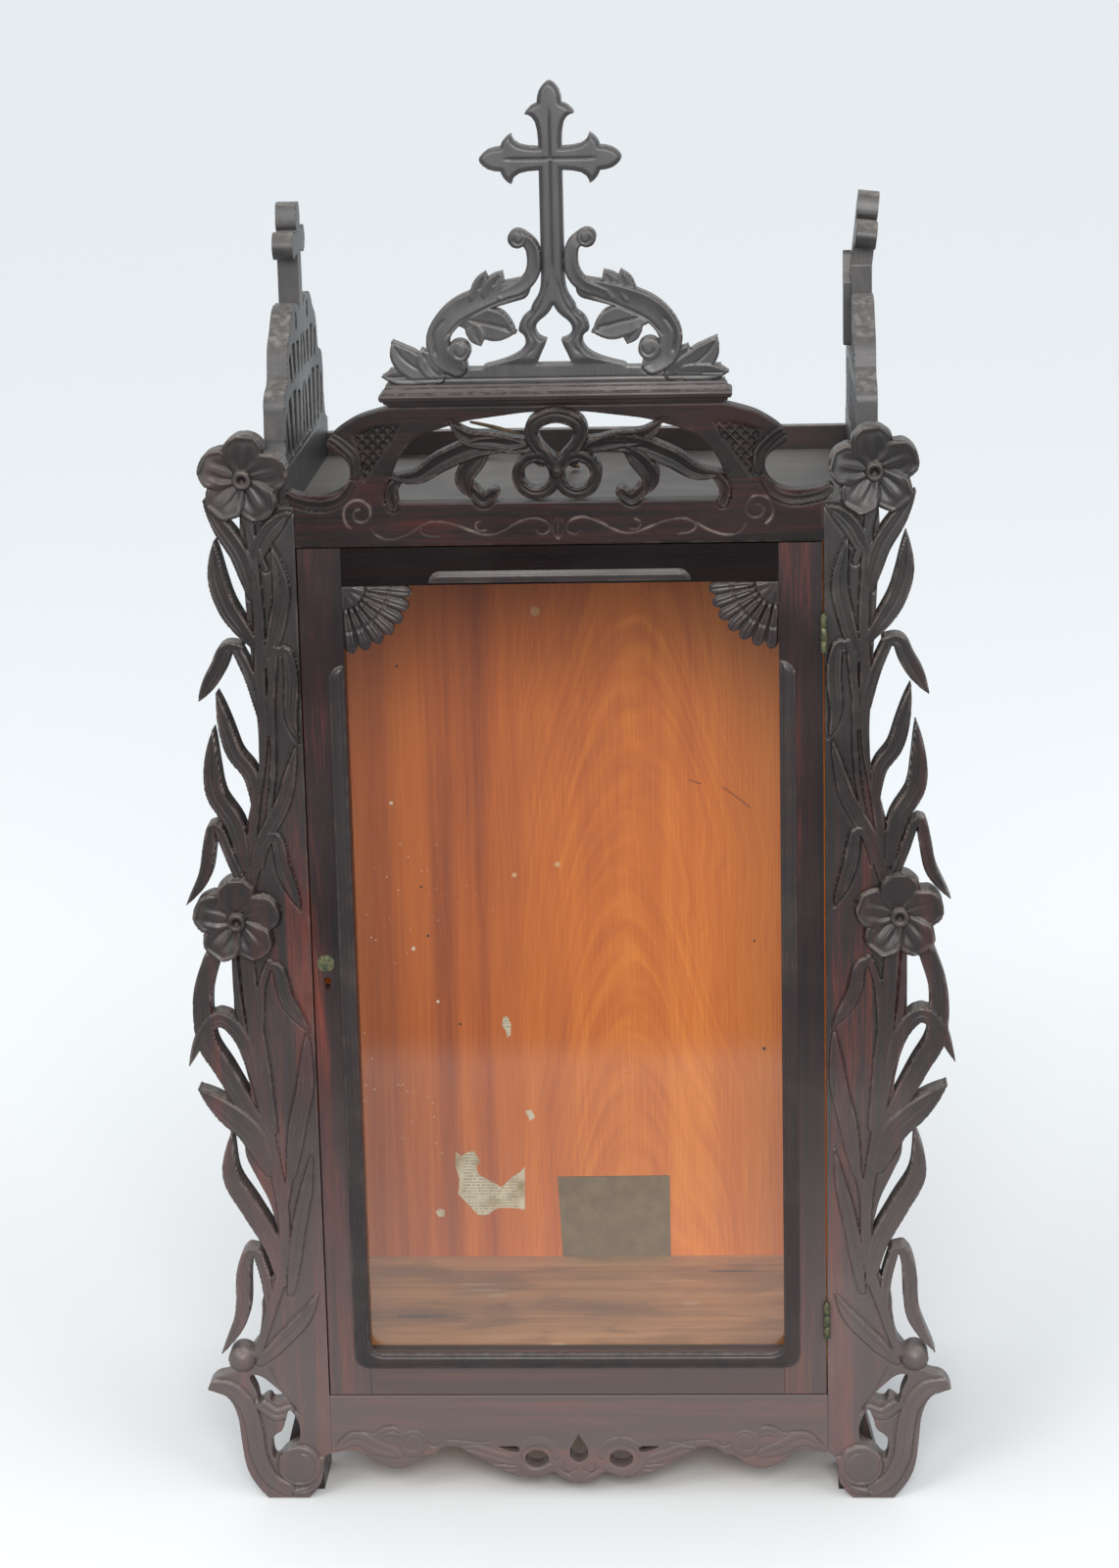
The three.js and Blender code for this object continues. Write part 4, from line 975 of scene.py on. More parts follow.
@dataclass(frozen=True)
class PanelWood:
    """Orange-brown board with arched grain in its middle and straight streaks at its left."""

    name: str = "orange_board"
    middle: float = 0.045
    behind: float = 0.201
    marks: tuple[tuple[float, float, float, str], ...] = (
        (-0.0456, 0.8012, 0.006, "c9925c"), (-0.1716, 0.5092, 0.0016, "2a140c"),
        (-0.166, 0.4557, 0.0018, "3a1d10"), (-0.1349, 0.3584, 0.0016, "2a140c"),
        (0.1755, 0.4476, 0.0016, "3a1d10"), (0.1847, 0.3291, 0.0022, "2a140c"),
        (-0.1894, 0.7454, 0.0018, "3a1d10"), (-0.1819, 0.4419, 0.0025, "d9c9ad"),
        (-0.1579, 0.3835, 0.0019, "e2d6bf"), (-0.0738, 0.5211, 0.003, "d8a878"),
        (-0.0285, 0.5323, 0.0035, "d8a878"), (-0.2, 0.60, 0.0022, "d9c9ad"),
    )
    scratches: tuple[tuple[float, float, float, float], ...] = (
        (0.1093, 0.6215, 0.1224, 0.6172), (0.1446, 0.6138, 0.1727, 0.5916),
    )

    def material(self) -> Material:
        """Sets out the material."""
        f = Finish(self.name, Coat_Weight=0.03, Coat_Roughness=0.35, Specular_IOR_Level=0.2)
        x, y, z = f.parted(f.coordinates)
        front = f.spread(y, self.behind, self.behind - 0.002)
        sway = f.noise(f.scaled((1.6, 1.0, 0.8)), 2.4, 3, 0.5)
        wander = f.times(f.minus(sway, 0.5), 0.12)
        off = f.plus(f.minus(x, self.middle), wander)
        arch = f.plus(f.times(f.times(off, off), 150), f.times(z, 5.2))
        node = f.tree.nodes.new("ShaderNodeCombineXYZ")
        f.put(node.inputs[0], f.plus(arch, f.times(sway, 1.2)))
        f.put(node.inputs[1], f.times(x, 1.5))
        f.put(node.inputs[2], f.times(z, 0.5))
        rings = f.noise(node.outputs[0], 9.0, 5, 0.2)
        middle = f.spread(f.math("ABSOLUTE", off), 0.19, 0.03)
        fine = f.noise(f.scaled((1.0, 1.0, 0.02)), 620, 4)
        streak = f.noise(f.scaled((1.0, 1.0, 0.018)), 42, 5, 0.3)
        broad = f.noise(f.scaled((1.0, 1.0, 0.1)), 9, 3, 0.6)
        left = f.spread(x, -0.15, 0.0, 1.0, 0.2)
        tone = f.plus(f.times(broad, 0.34), f.times(fine, 0.2))
        tone = f.plus(tone, f.times(f.times(f.minus(streak, 0.16), left), 0.52))
        tone = f.plus(tone, f.times(f.times(f.minus(rings, 0.1), middle), 0.25))
        tone = f.plus(tone, f.times(f.minus(1.0, middle), 0.08))
        colour = f.ramp(tone, [(0.3, "e88828"), (0.41, "d36f18"), (0.52, "b95a14"), (0.68, "80370f")])
        # Painted shadow: the panel's top is darkened slightly, where the top board shades it.
        top = f.times(f.spread(z, 0.72, 0.93), 0.05)
        colour = f.blend(top, colour, shade("a5501a"))
        side = f.times(f.spread(x, -0.08, -0.24), 0.22)
        colour = f.blend(side, colour, shade("6e3517"))
        for mx, mz, size, code in self.marks:
            away = f.math("SQRT", f.plus(f.math("POWER", f.minus(x, mx), 2.0),
                                         f.math("POWER", f.minus(z, mz), 2.0)))
            away = f.plus(away, f.times(f.noise(f.coordinates, 700, 2), size * 0.6))
            mark = f.times(front, f.spread(away, size * 1.35, size * 0.9))
            colour = f.blend(mark, colour, shade(code))
        for x0, z0, x1, z1 in self.scratches:
            length = math.hypot(x1 - x0, z1 - z0)
            ux, uz = (x1 - x0) / length, (z1 - z0) / length
            dx, dz = f.minus(x, x0), f.minus(z, z0)
            run = f.plus(f.times(dx, ux), f.times(dz, uz))
            over = f.math("ABSOLUTE", f.minus(f.times(dx, uz), f.times(dz, ux)))
            within = f.times(f.spread(run, -0.001, 0.001), f.spread(run, length + 0.001, length - 0.001))
            line = f.times(within, f.spread(over, 0.0012, 0.0006))
            colour = f.blend(f.times(line, f.times(front, 0.6)), colour, shade("5c2a14"))
        specks = f.spread(f.spots(f.coordinates, 95), 0.10, 0.05)
        specks = f.times(f.times(specks, front), f.spread(f.noise(f.coordinates, 9, 2), 0.52, 0.62))
        colour = f.blend(f.times(specks, f.spread(x, -0.05, -0.2)), colour, shade("dccbb0"))
        colour = f.blend(f.times(f.minus(1.0, front), 0.6), colour, shade("5f4632"))
        f.surface(Base_Color=colour, Roughness=f.spread(broad, 0.3, 0.7, 0.42, 0.58))
        f.bump(fine, 0.0001, 0.5)
        return f.material


@dataclass(frozen=True)
class DustyBoard:
    """A bare board under dust, with scuffs that run across it."""

    name: str
    clean: str = "3a2f2b"
    dusty: str = "6f6b67"
    cover: float = 0.6
    grain: Grain = Grain.ACROSS

    def material(self) -> Material:
        """Sets out the material."""
        f = Finish(self.name, Specular_IOR_Level=0.4)
        along = f.scaled(self.grain.value)
        fibre = f.noise(along, 260, 4)
        figure = f.noise(along, 22, 4, 0.8)
        patch = f.noise(f.coordinates, 7, 5, 0.6)
        wood = f.blend(f.spread(figure, 0.35, 0.65), shade(self.clean), shade("241c19"))
        cover = f.times(f.spread(patch, 0.34, 0.62), self.cover)
        cover = f.times(cover, f.spread(fibre, 0.2, 0.6, 0.7, 1.0))
        cover = f.times(cover, f.spread(f.upward(), 0.2, 0.9, 0.25, 1.0))
        colour = f.blend(cover, wood, shade(self.dusty))
        f.surface(Base_Color=colour, Roughness=f.spread(patch, 0.3, 0.7, 0.42, 0.72))
        f.bump(fibre, 0.00015, 0.6)
        return f.material


@dataclass(frozen=True)
class InnerFloor:
    """The shrine's bare floor: orange-brown, rubbed and stained, with pale scratches."""

    name: str = "inner_floor"
    marks: tuple[tuple[float, float, float, float, float, str], ...] = (
        (-0.0258, -0.049, 0.0135, 0.0075, 0.1, "e3d3a6"), (-0.112, 0.100, 0.024, 0.0035, 1.4, "a98f70"),
        (-0.12, 0.116, 0.020, 0.0028, 1.6, "b79d7c"), (-0.096, 0.085, 0.012, 0.0045, 1.4, "b79d7c"),
        (0.106, 0.062, 0.011, 0.004, 1.3, "b79d7c"), (0.15, 0.15, 0.03, 0.003, 1.2, "5a4232"),
        (-0.17, 0.03, 0.03, 0.006, 1.2, "644936"),
    )

    def material(self) -> Material:
        """Sets out the material."""
        f = Finish(self.name, Coat_Weight=0.05, Coat_Roughness=0.4)
        along = f.scaled(Grain.ACROSS.value)
        x, y, _ = f.parted(f.coordinates)
        fibre = f.noise(along, 300, 4)
        figure = f.noise(along, 30, 4, 0.9)
        colour = f.ramp(f.plus(f.times(figure, 0.7), f.times(fibre, 0.3)),
                        [(0.32, "d2a06c"), (0.5, "bc8856"), (0.7, "976844")])
        stain = f.spread(f.noise(f.scaled((2.6, 7.0, 1.0)), 3.4, 5, 0.6), 0.46, 0.62)
        middle = f.times(f.spread(f.math("ABSOLUTE", f.plus(x, 0.05)), 0.2, 0.05),
                        f.spread(f.math("ABSOLUTE", f.plus(y, -0.04)), 0.14, 0.02))
        stained = f.math("MINIMUM", f.plus(f.times(stain, 0.3), f.times(middle, 0.26)), 0.7)
        colour = f.blend(stained, colour, shade("352620"))
        scratch = f.spread(f.noise(f.scaled((60.0, 260.0, 1.0)), 1.0, 3, 2.0), 0.66, 0.7)
        where = f.spread(f.noise(f.coordinates, 11, 2), 0.56, 0.64)
        colour = f.blend(f.times(f.times(scratch, where), 0.7), colour, shade("d9c7ac"))
        for cx, cy, wide, deep, soft, code in self.marks:
            u = f.math("DIVIDE", f.minus(x, cx), wide)
            v = f.math("DIVIDE", f.minus(y, cy), deep)
            away = f.math("SQRT", f.plus(f.times(u, u), f.times(v, v)))
            away = f.plus(away, f.times(f.noise(f.coordinates, 260, 3), soft))
            colour = f.blend(f.spread(away, 1.0 + 0.6 * soft, 0.85 + 0.4 * soft), colour, shade(code))
        f.surface(Base_Color=colour, Roughness=f.spread(figure, 0.3, 0.7, 0.45, 0.65))
        f.bump(fibre, 0.0001, 0.5)
        return f.material


@dataclass(frozen=True)
class OldMetal:
    """Dull metal with dirty patches."""

    name: str
    bright: str
    dirty: str
    rough: float = 0.42
    metallic: float = 0.85

    def material(self) -> Material:
        """Sets out the material."""
        f = Finish(self.name, Metallic=self.metallic)
        patch = f.noise(f.coordinates, 260, 4)
        fine = f.noise(f.coordinates, 1400, 3)
        f.surface(
            Base_Color=f.blend(f.spread(patch, 0.35, 0.65), shade(self.bright), shade(self.dirty)),
            Roughness=f.spread(patch, 0.3, 0.7, self.rough, self.rough + 0.25),
        )
        f.bump(fine, 0.0001, 0.5)
        return f.material


@dataclass(frozen=True)
class PrintedPaper:
    """Old pasted paper with rows of small marks that aren't letters."""

    name: str = "old_paper"
    row: float = 0.0034
    left: float = -0.138
    right: float = -0.078

    def material(self) -> Material:
        """Sets out the material."""
        f = Finish(self.name, Sheen_Weight=0.1)
        x, _, z = f.parted(f.coordinates)
        line = f.math("FRACT", f.math("DIVIDE", z, self.row))
        body = f.times(f.spread(line, 0.2, 0.32), f.spread(line, 0.72, 0.6))
        row = f.math("FLOOR", f.math("DIVIDE", z, self.row))
        node = f.tree.nodes.new("ShaderNodeCombineXYZ")
        f.put(node.inputs[0], f.times(x, 900))
        f.put(node.inputs[1], f.times(row, 3.7))
        f.put(node.inputs[2], f.times(z, 500))
        strokes = f.spread(f.noise(node.outputs[0], 1.0, 2), 0.46, 0.56)
        left, right = self.left, self.right
        margin = f.times(f.spread(x, left, left + 0.002), f.spread(x, right, right - 0.002))
        ink = f.times(f.times(body, strokes), margin)
        stain = f.noise(f.coordinates, 42, 4)
        paper = f.ramp(stain, [(0.3, "e0d5b8"), (0.5, "cfc3a4"), (0.66, "a9946c"), (0.8, "6f5a3c")])
        f.surface(Base_Color=f.blend(f.times(ink, 0.72), paper, shade("3c342b")),
                  Roughness=f.spread(stain, 0.3, 0.7, 0.75, 0.92))
        f.bump(f.noise(f.coordinates, 300, 3), 0.0002, 0.7)
        return f.material


@dataclass(frozen=True)
class CardBoard:
    """Brown-olive card with a soft mottle."""

    name: str = "brown_card_stock"
    light: str = "7c6646"
    dark: str = "6f5a3c"

    def material(self) -> Material:
        """Sets out the material."""
        f = Finish(self.name, Specular_IOR_Level=0.3)
        mottle = f.noise(f.coordinates, 55, 5)
        weave = f.noise(f.scaled((1.0, 1.0, 0.3)), 800, 3)
        tone = f.plus(f.times(mottle, 0.7), f.times(weave, 0.3))
        f.surface(Base_Color=f.blend(f.spread(tone, 0.38, 0.62), shade(self.light), shade(self.dark)),
                  Roughness=f.spread(mottle, 0.3, 0.7, 0.78, 0.9))
        f.bump(weave, 0.0001, 0.6)
        return f.material


def window_glass() -> Material:
    """Clear old glass by plain values on the shader."""
    f = Finish("clear_glass", Base_Color=(0.92, 0.95, 0.95, 1.0), Roughness=0.04, Metallic=1.0, Alpha=0.052)
    return f.material


def dress(node: str, material: Material, rounding: float = 0.0) -> None:
    """Gives a CAD node its finish, and softens its edges.

    Args:
        node: The node's name.
        material: Its finish.
        rounding: The radius of its edges in millimetres, or 0 for none.
    """
    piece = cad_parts[node]
    piece.data.materials.clear()
    piece.data.materials.append(material)
    if rounding:
        soft = piece.modifiers.new("soft_edges", "BEVEL")
        soft.width = rounding * MM
        soft.segments = 2
        soft.limit_method = "ANGLE"
        soft.angle_limit = math.radians(40)
        soft.harden_normals = False
    log.info("%s: dressed", node)


@dataclass
class FrontPost:
    """A front post: a pierced board with a vine of long leaves, two flowers and a scroll foot."""

    side: int
    pitch: float = 0.98
    flower_radius: float = 42.0
    outline: Path = field(default_factory=lambda: [
        (0, 981.5), (0, 47), (6.5, 44), (9.5, 34), (9.5, 22), (13.5, 11), (23.5, 0), (63.5, 0), (71.5, 9),
        (79, 20), (84.5, 34), (87.5, 59), (89.5, 86), (96.5, 104), (108.5, 111), (118.5, 114), (115.5, 122),
        (108.5, 128), (100, 129), (88, 134), (73, 158), (65.5, 167), (61.5, 195), (62, 208), (46, 240),
        (42.5, 253), (42.5, 277), (49.5, 308), (58.5, 327), (72.5, 357), (62.5, 421), (69.5, 454),
        (75.5, 493), (75.5, 560), (58.5, 640), (58.5, 669), (52.5, 695), (41.5, 734), (40.5, 770),
        (47.5, 890), (50.5, 957), (48, 1000), (35, 1004), (22, 981.5),
    ])
    upper_hole: Path = field(default_factory=lambda: [
        (78.5, 127), (72.5, 130), (63.5, 127), (46.5, 111), (42.5, 103), (55.5, 99), (58.5, 106), (63.5, 104),
        (69.5, 98), (70.5, 111),
    ])
    lower_hole: Path = field(default_factory=lambda: [
        (43.5, 84), (46.5, 71), (52.5, 68), (58.5, 62), (58.5, 46), (55, 38), (44, 52), (30.5, 57),
        (29.5, 76), (39, 96),
    ])
    outer_blades: list[tuple[Path, float]] = field(default_factory=lambda: [
        ([(41, 900), (50, 935), (68, 965), (82.5, 988)], 18),
        ([(42, 855), (63, 885), (73, 915), (74.5, 950)], 18),
        ([(56, 851), (68, 849), (76, 832), (95, 801)], 15),
        ([(46, 700), (50, 730), (66, 755), (78.5, 808)], 15),
        ([(59, 640), (66, 680), (83, 710), (86, 740), (83.5, 773)], 18),
        ([(80, 676), (88, 680), (92, 660), (98, 632), (115.5, 605)], 12),
        ([(48, 340), (63, 375), (83, 395), (112.5, 422)], 24),
        ([(41, 225), (48, 262), (68, 300), (86, 335), (83.5, 378)], 19),
        ([(62, 254), (72, 256), (78, 235), (82, 190), (102.5, 152)], 14),
        ([(58, 430), (68, 470), (88, 492), (106, 478), (120.4, 446)], 15),
    ])
    outer_stalks: list[tuple[Path, float]] = field(default_factory=lambda: [
        ([(38, 790), (46, 822), (58, 850)], 11),
        ([(61, 622), (70, 645), (82, 678)], 10),
        ([(95, 550), (105, 515), (103, 470), (86, 438), (53, 375)], 19),
        ([(54, 190), (56, 225), (64, 256)], 10),
    ])
    inner_blades: list[tuple[Path, float]] = field(default_factory=lambda: [
        ([(38, 930), (26, 955), (12, 970), (2, 976)], 15),
        ([(30, 835), (20, 870), (14, 905), (21, 947)], 14),
        ([(22, 846), (12, 846), (8, 820), (10, 785), (4, 760)], 12),
        ([(55, 625), (40, 667), (20, 705), (6, 759)], 13),
        ([(36, 668), (28, 668), (22, 636), (8, 599)], 12),
        ([(42, 544), (32, 540), (24, 510), (5, 479)], 12),
        ([(28, 335), (20, 385), (11, 425), (7, 479)], 15),
        ([(33, 215), (23, 280), (14, 320), (7, 358)], 12),
        ([(66, 142), (43, 165), (20, 190), (7, 213)], 13),
    ])
    stems: list[tuple[Path, float]] = field(default_factory=lambda: [
        ([(68, 152), (52, 200), (40, 240), (37, 300), (48, 380), (58, 480), (64, 560)], 12),
        ([(56, 630), (47, 700), (38, 760), (37, 830), (36, 880), (42, 985)], 11),
        ([(31, 770), (26, 820), (22, 850)], 8),
        ([(53, 622), (45, 650), (34, 672)], 8),
        ([(51, 480), (49, 520), (40, 548)], 8),
        ([(74, 560), (70, 500), (60, 440), (52, 392)], 8),
        ([(58, 556), (54, 500), (47, 440), (42, 380)], 8),
        ([(28, 340), (36, 300), (36, 262)], 8),
        ([(44, 640), (30, 720), (27, 790), (29, 840)], 6),
        ([(50, 990), (40, 955), (28, 925)], 8),
    ])
    foot_bands: list[tuple[Path, float]] = field(default_factory=lambda: [
        ([(112, 117), (95, 114), (80, 96), (74, 70), (71, 44), (60, 20), (44, 9)], 17),
        ([(40, 92), (52, 88), (62, 94), (68, 99)], 13),
        ([(10, 40), (10, 26), (22, 10), (36, 6)], 8),
    ])
    flowers: tuple[tuple[Point, float], ...] = (((45.5, 1008), 95), ((68.5, 589), 90))
    ball: Point = (83.5, 146)
    volute: Point = (31.5, 34)

    def put(self, points: Iterable[Point]) -> Path:
        """Puts a drawing of the board on the left or right post."""
        return [(self.side * (POST_INNER + u), z) for u, z in points]

    def petals(self, carving: Carving, centre: Point, first: float) -> None:
        """Carves a flower of five cupped petals round a pitted ring.

        Args:
            carving: The post's carving.
            centre: The flower's middle on the board.
            first: The first petal's direction in degrees.
        """
        radius = self.flower_radius
        window, a, z = carving.near(np.asarray([centre]), radius + 6)
        for k in range(5):
            turn = math.radians(first + 72 * k)
            u = (a - centre[0]) * math.cos(turn) + (z - centre[1]) * math.sin(turn)
            v = (z - centre[1]) * math.cos(turn) - (a - centre[0]) * math.sin(turn)
            r = u / radius
            wide = 0.12 + 0.33 * eased(r, -0.05, 0.5)
            oval = np.sqrt(np.clip(1 - (np.clip(r - 0.6, 0, 1) / 0.4) ** 2, 0, 1))
            half = radius * wide * oval * (1 + 0.03 * np.sin(r * 19 + k))
            edge = np.minimum(half - np.abs(v), np.minimum((1.0 - r) * radius, r * radius + 4))
            q = v / np.maximum(half, 1)
            cup = 4.2 + 3.2 * eased(r, 0.15, 0.8) + 1.6 * q
            rim = 1.2 * np.exp(-(((edge - 2.6) / 2.2) ** 2)) * eased(r, 0.3, 0.6)
            fold = 0.7 * np.cos(q * math.pi * 3.2) * (1 - eased(r, 0.45, 0.85)) * eased(r, 0.12, 0.3)
            crease = -0.6 * np.exp(-((v / 0.9) ** 2)) * (1 - eased(r, 0.45, 0.75))
            drop = 3.2 * (1 - np.sqrt(np.clip(1 - np.clip(1 - edge / 2.6, 0, 1) ** 2, 0, 1)))
            carving.raise_to(window, edge, cup + rim + fold + crease - drop)
            carving.inside[window] = np.maximum(carving.inside[window], edge)
        carving.disc(centre, 9.5, 7.0, 1.0)
        carving.ring(centre, 6.2, 2.6, 8.6)
        away = np.hypot(a - centre[0], z - centre[1])
        carving.height[window] -= 4.0 * np.exp(-((away / 2.6) ** 2))

    def build(self, material: Material) -> Piece:
        """Builds the carved post.

        Args:
            material: The post's finish.

        Returns:
            The finished piece.
        """
        side, put = self.side, self.put
        span = sorted((side * (POST_INNER - 1), side * (POST_INNER + 122)))
        carving = Carving((span[0], 0), (span[1], 1052), self.pitch)
        square = put([(0, 981.5), (0, 47), (23.5, 0), (63.5, 0), (118.5, 114)])
        outline = soften(put(self.outline), square)
        carving.board(outline, [soften(put(self.upper_hole), (), 4), soften(put(self.lower_hole), (), 4)])
        leaves = [Leaf(put(p), w, Form.RIBBON, rise=2.8, free=True) for p, w in self.outer_stalks]
        leaves += [Leaf(put(p), w, rise=3.4, free=True, lean=0.9 * side, veins=2)
                   for p, w in self.outer_blades]
        leaves += [Leaf(put(p), w, Form.RIBBON, rise=2.6, dish=0.1, lean=0.3, veins=0) for p, w in self.stems]
        leaves += [Leaf(put(p), w * 1.15, rise=3.0, lean=-0.9 * side, veins=2) for p, w in self.inner_blades]
        leaves += [Leaf(put(p), w, Form.RIBBON, rise=2.6, dish=0.1) for p, w in self.foot_bands]
        carving.leaves(leaves)
        (ball,), (volute,) = put([self.ball]), put([self.volute])
        carving.disc(ball, 13, 2.0, 7.5, free=True)
        carving.disc(volute, 21.5, 3.2, 0.8)
        carving.groove(spiral(volute, 19, 14, 60 if side > 0 else 120, -0.95 * side), 1.5, 0.9)
        carving.groove(put([(58.5, 138), (48, 116), (36, 96), (28.5, 85)]), 2.2, 1.4)
        for centre, first in self.flowers:
            (middle,) = put([centre])
            self.petals(carving, middle, first if side > 0 else 180 - first)
        carving.finish()
        name = "left" if side < 0 else "right"
        names = (f"{name}_vine_post", f"{name}_front_post")
        return carved_piece(carving, Lie(Facing.FRONT, FRONT, BOARD), names, "cabinet", material)


@dataclass
class ArchedFrieze:
    """The rail over the door with its arch, C scrolls, and openwork bow and leaves."""

    pitch: float = 0.9
    outer: Path = field(default_factory=lambda: [
        (151, 88), (167, 84), (180, 80), (191, 74), (204, 65), (211, 53), (200, 47), (191, 40), (188, 32),
        (189, 22), (195, 14), (204, 9), (215, 7), (237, 9), (247, 14), (252, 7), (243, -1), (241.2, -1),
    ])
    inner: Path = field(default_factory=lambda: [
        (158, 0), (156, 14), (152, 23), (147, 36), (139, 49), (128, 60), (115, 65), (81, 75), (26, 82),
    ])
    side_loop: tuple[Point, float, float] = ((18.5, 24.6), 17.0, 10.5)
    crimps: int = 11
    upper_loop: Path = field(default_factory=lambda: [
        (0, 30), (-8, 41), (-17, 50), (-22.5, 62), (-18, 73), (0, 79), (18, 73), (22.5, 62), (17, 50),
        (8, 41), (0, 30),
    ])
    blades: list[tuple[Path, float]] = field(default_factory=lambda: [
        ([(24, 48), (55, 55), (80, 59), (97, 74)], 13),
        ([(30, 53), (70, 51), (104, 38), (128, 24), (154, 24)], 15),
        ([(65, 46), (84, 24), (80, 5)], 15),
    ])
    stalks: list[tuple[Path, float]] = field(default_factory=lambda: [
        ([(78, 12), (68, 1), (58, 8)], 11),
        ([(14, 36), (34, 50), (60, 52)], 9),
        ([(146, 20), (152, 10), (150, -3)], 10),
    ])
    vine: Path = field(default_factory=lambda: [
        (171, 961), (165, 954), (154, 951), (139, 955), (123, 964), (113, 967), (97, 965), (80, 958),
        (65, 954), (52, 957), (39, 964), (26, 969), (15, 968), (8, 963), (9, 956), (17, 954), (20, 957),
    ])
    tendrils: list[Path] = field(default_factory=lambda: [
        [(124, 963), (125, 958), (119, 954), (108, 953)],
        [(66, 958), (73, 958), (75, 964), (70, 967)],
    ])
    lattice: Path = field(default_factory=lambda: [
        (185, 1047), (163, 1054), (143, 1055), (150, 1040), (164, 1022), (176, 1004), (178, 1026),
    ])

    def put(self, points: Iterable[Point], side: int = 1) -> Path:
        """Puts a drawing of the arch on its left or right half."""
        return placed(points, side, RAIL_TOP)

    def band(self, carving: Carving, course: Path, width: float, taper: float = 0.0) -> None:
        """Carves one loop of the bow: a rounded ribbon with a crimped edge.

        Args:
            carving: The frieze's carving.
            course: The ribbon's middle line.
            width: Its width.
            taper: How much of its width it loses towards its ends.
        """
        path = smooth_path(course, 44)
        window, a, z = carving.near(path, width)
        share, away, side = along_path(path, a, z)
        half = width / 2 * (1 - taper * (1 - np.sin(math.pi * share)))
        q = np.clip(away / half, 0, 1)
        crimp = 0.3 * np.sin(share * 2 * math.pi * self.crimps + 1.2 * side) * eased(q, 0.4, 0.9)
        top = 3.2 + 2.0 * np.sqrt(np.clip(1 - np.clip((q - 0.5) / 0.5, 0, 1) ** 2, 0, 1)) + crimp
        top -= 0.6 * np.exp(-(((away * side - 0.3 * half) / 1.0) ** 2))
        carving.raise_to(window, half - away, top)
        carving.inside[window] = np.maximum(carving.inside[window], half - away)

    def lattices(self, carving: Carving, side: int) -> None:
        """Sinks a small triangle and leaves a crossed lattice in it.

        Args:
            carving: The frieze's carving.
            side: -1 for the left triangle, 1 for the right one.
        """
        outline = placed(self.lattice, side)
        window, a, z = carving.near(np.asarray(outline), 4)
        depth = outline_depth(outline, a, z)
        floor = eased(depth, 0.0, 1.4)
        rising, falling = (np.exp(-((np.sin((a + way * z) * 0.33) / 0.35) ** 2)) for way in (1, -1))
        carving.height[window] -= floor * (2.4 - 2.0 * np.maximum(rising, falling))
        carving.groove(outline + outline[:1], 1.6, 0.8, smooth=False)

    def build(self, material: Material) -> Piece:
        """Builds the frieze.

        Args:
            material: Its finish.

        Returns:
            The finished piece.
        """
        put = self.put
        carving = Carving((-254, 944), (254, 1072), self.pitch)
        corner = (POST_INNER - JOINT_GAP, 944.0)
        ends = [(151, RAIL_TOP + 88), (241.2, RAIL_TOP - 1), corner]
        outline = soften(both_halves(put(self.outer) + [corner]), ends + mirrored(ends), 4)
        bottom = [(158, RAIL_TOP)]
        hole = soften(both_halves(put(self.inner)), bottom + mirrored(bottom), 5)
        carving.board(outline, [hole])
        for side in (-1, 1):
            carving.leaves(Leaf(put(p, side), w * 1.1, Form.RIBBON, rise=2.6, free=True, dish=0.4)
                           for p, w in self.stalks)
            carving.leaves(Leaf(put(p, side), w * 1.2, rise=3.4, free=True, dish=0.5, lean=0.9, veins=2)
                           for p, w in self.blades)
            c_band = put([(248, 9), (236, 2), (214, -1), (197, 5), (188, 18)], side)
            carving.leaf(Leaf(c_band, 10, Form.RIBBON, rise=1.3, dish=0.6, veins=0))
            c_end = put([(183, 26), (183, 42), (196, 56), (205, 62)], side)
            carving.leaf(Leaf(c_end, 9, Form.RIBBON, rise=1.1, dish=0.6, veins=0))
            carving.engrave(spiral((side * 181, 975), 16, 3.5, -60 if side > 0 else 240, 1.4 * side), 1.7)
            carving.engrave(placed(self.vine, side), 1.3)
            for tendril in self.tendrils:
                carving.engrave(placed(tendril, side), 1.1)
            self.lattices(carving, side)
            carving.engrave([(0, 949), (side * 4, 955), (side * 5, 963), (side * 2.5, 969)], 1.1)
        carving.engrave([(0, 950), (0, 970)], 1.1)
        (across, up), radius, width = self.side_loop
        for side in (-1, 1):
            self.band(carving, arc((side * across, RAIL_TOP + up), radius, 0, 360, 24), width)
        self.band(carving, put(self.upper_loop), 13.5, 0.4)
        carving.disc((0, RAIL_TOP + 28), 6, 6.5, 2.5, free=True)
        carving.finish(sink=0.5)
        names = ("bow_and_arch_frieze", "arched_frieze")
        return carved_piece(carving, Lie(Facing.FRONT, FRONT, BOARD), names, "cabinet", material)


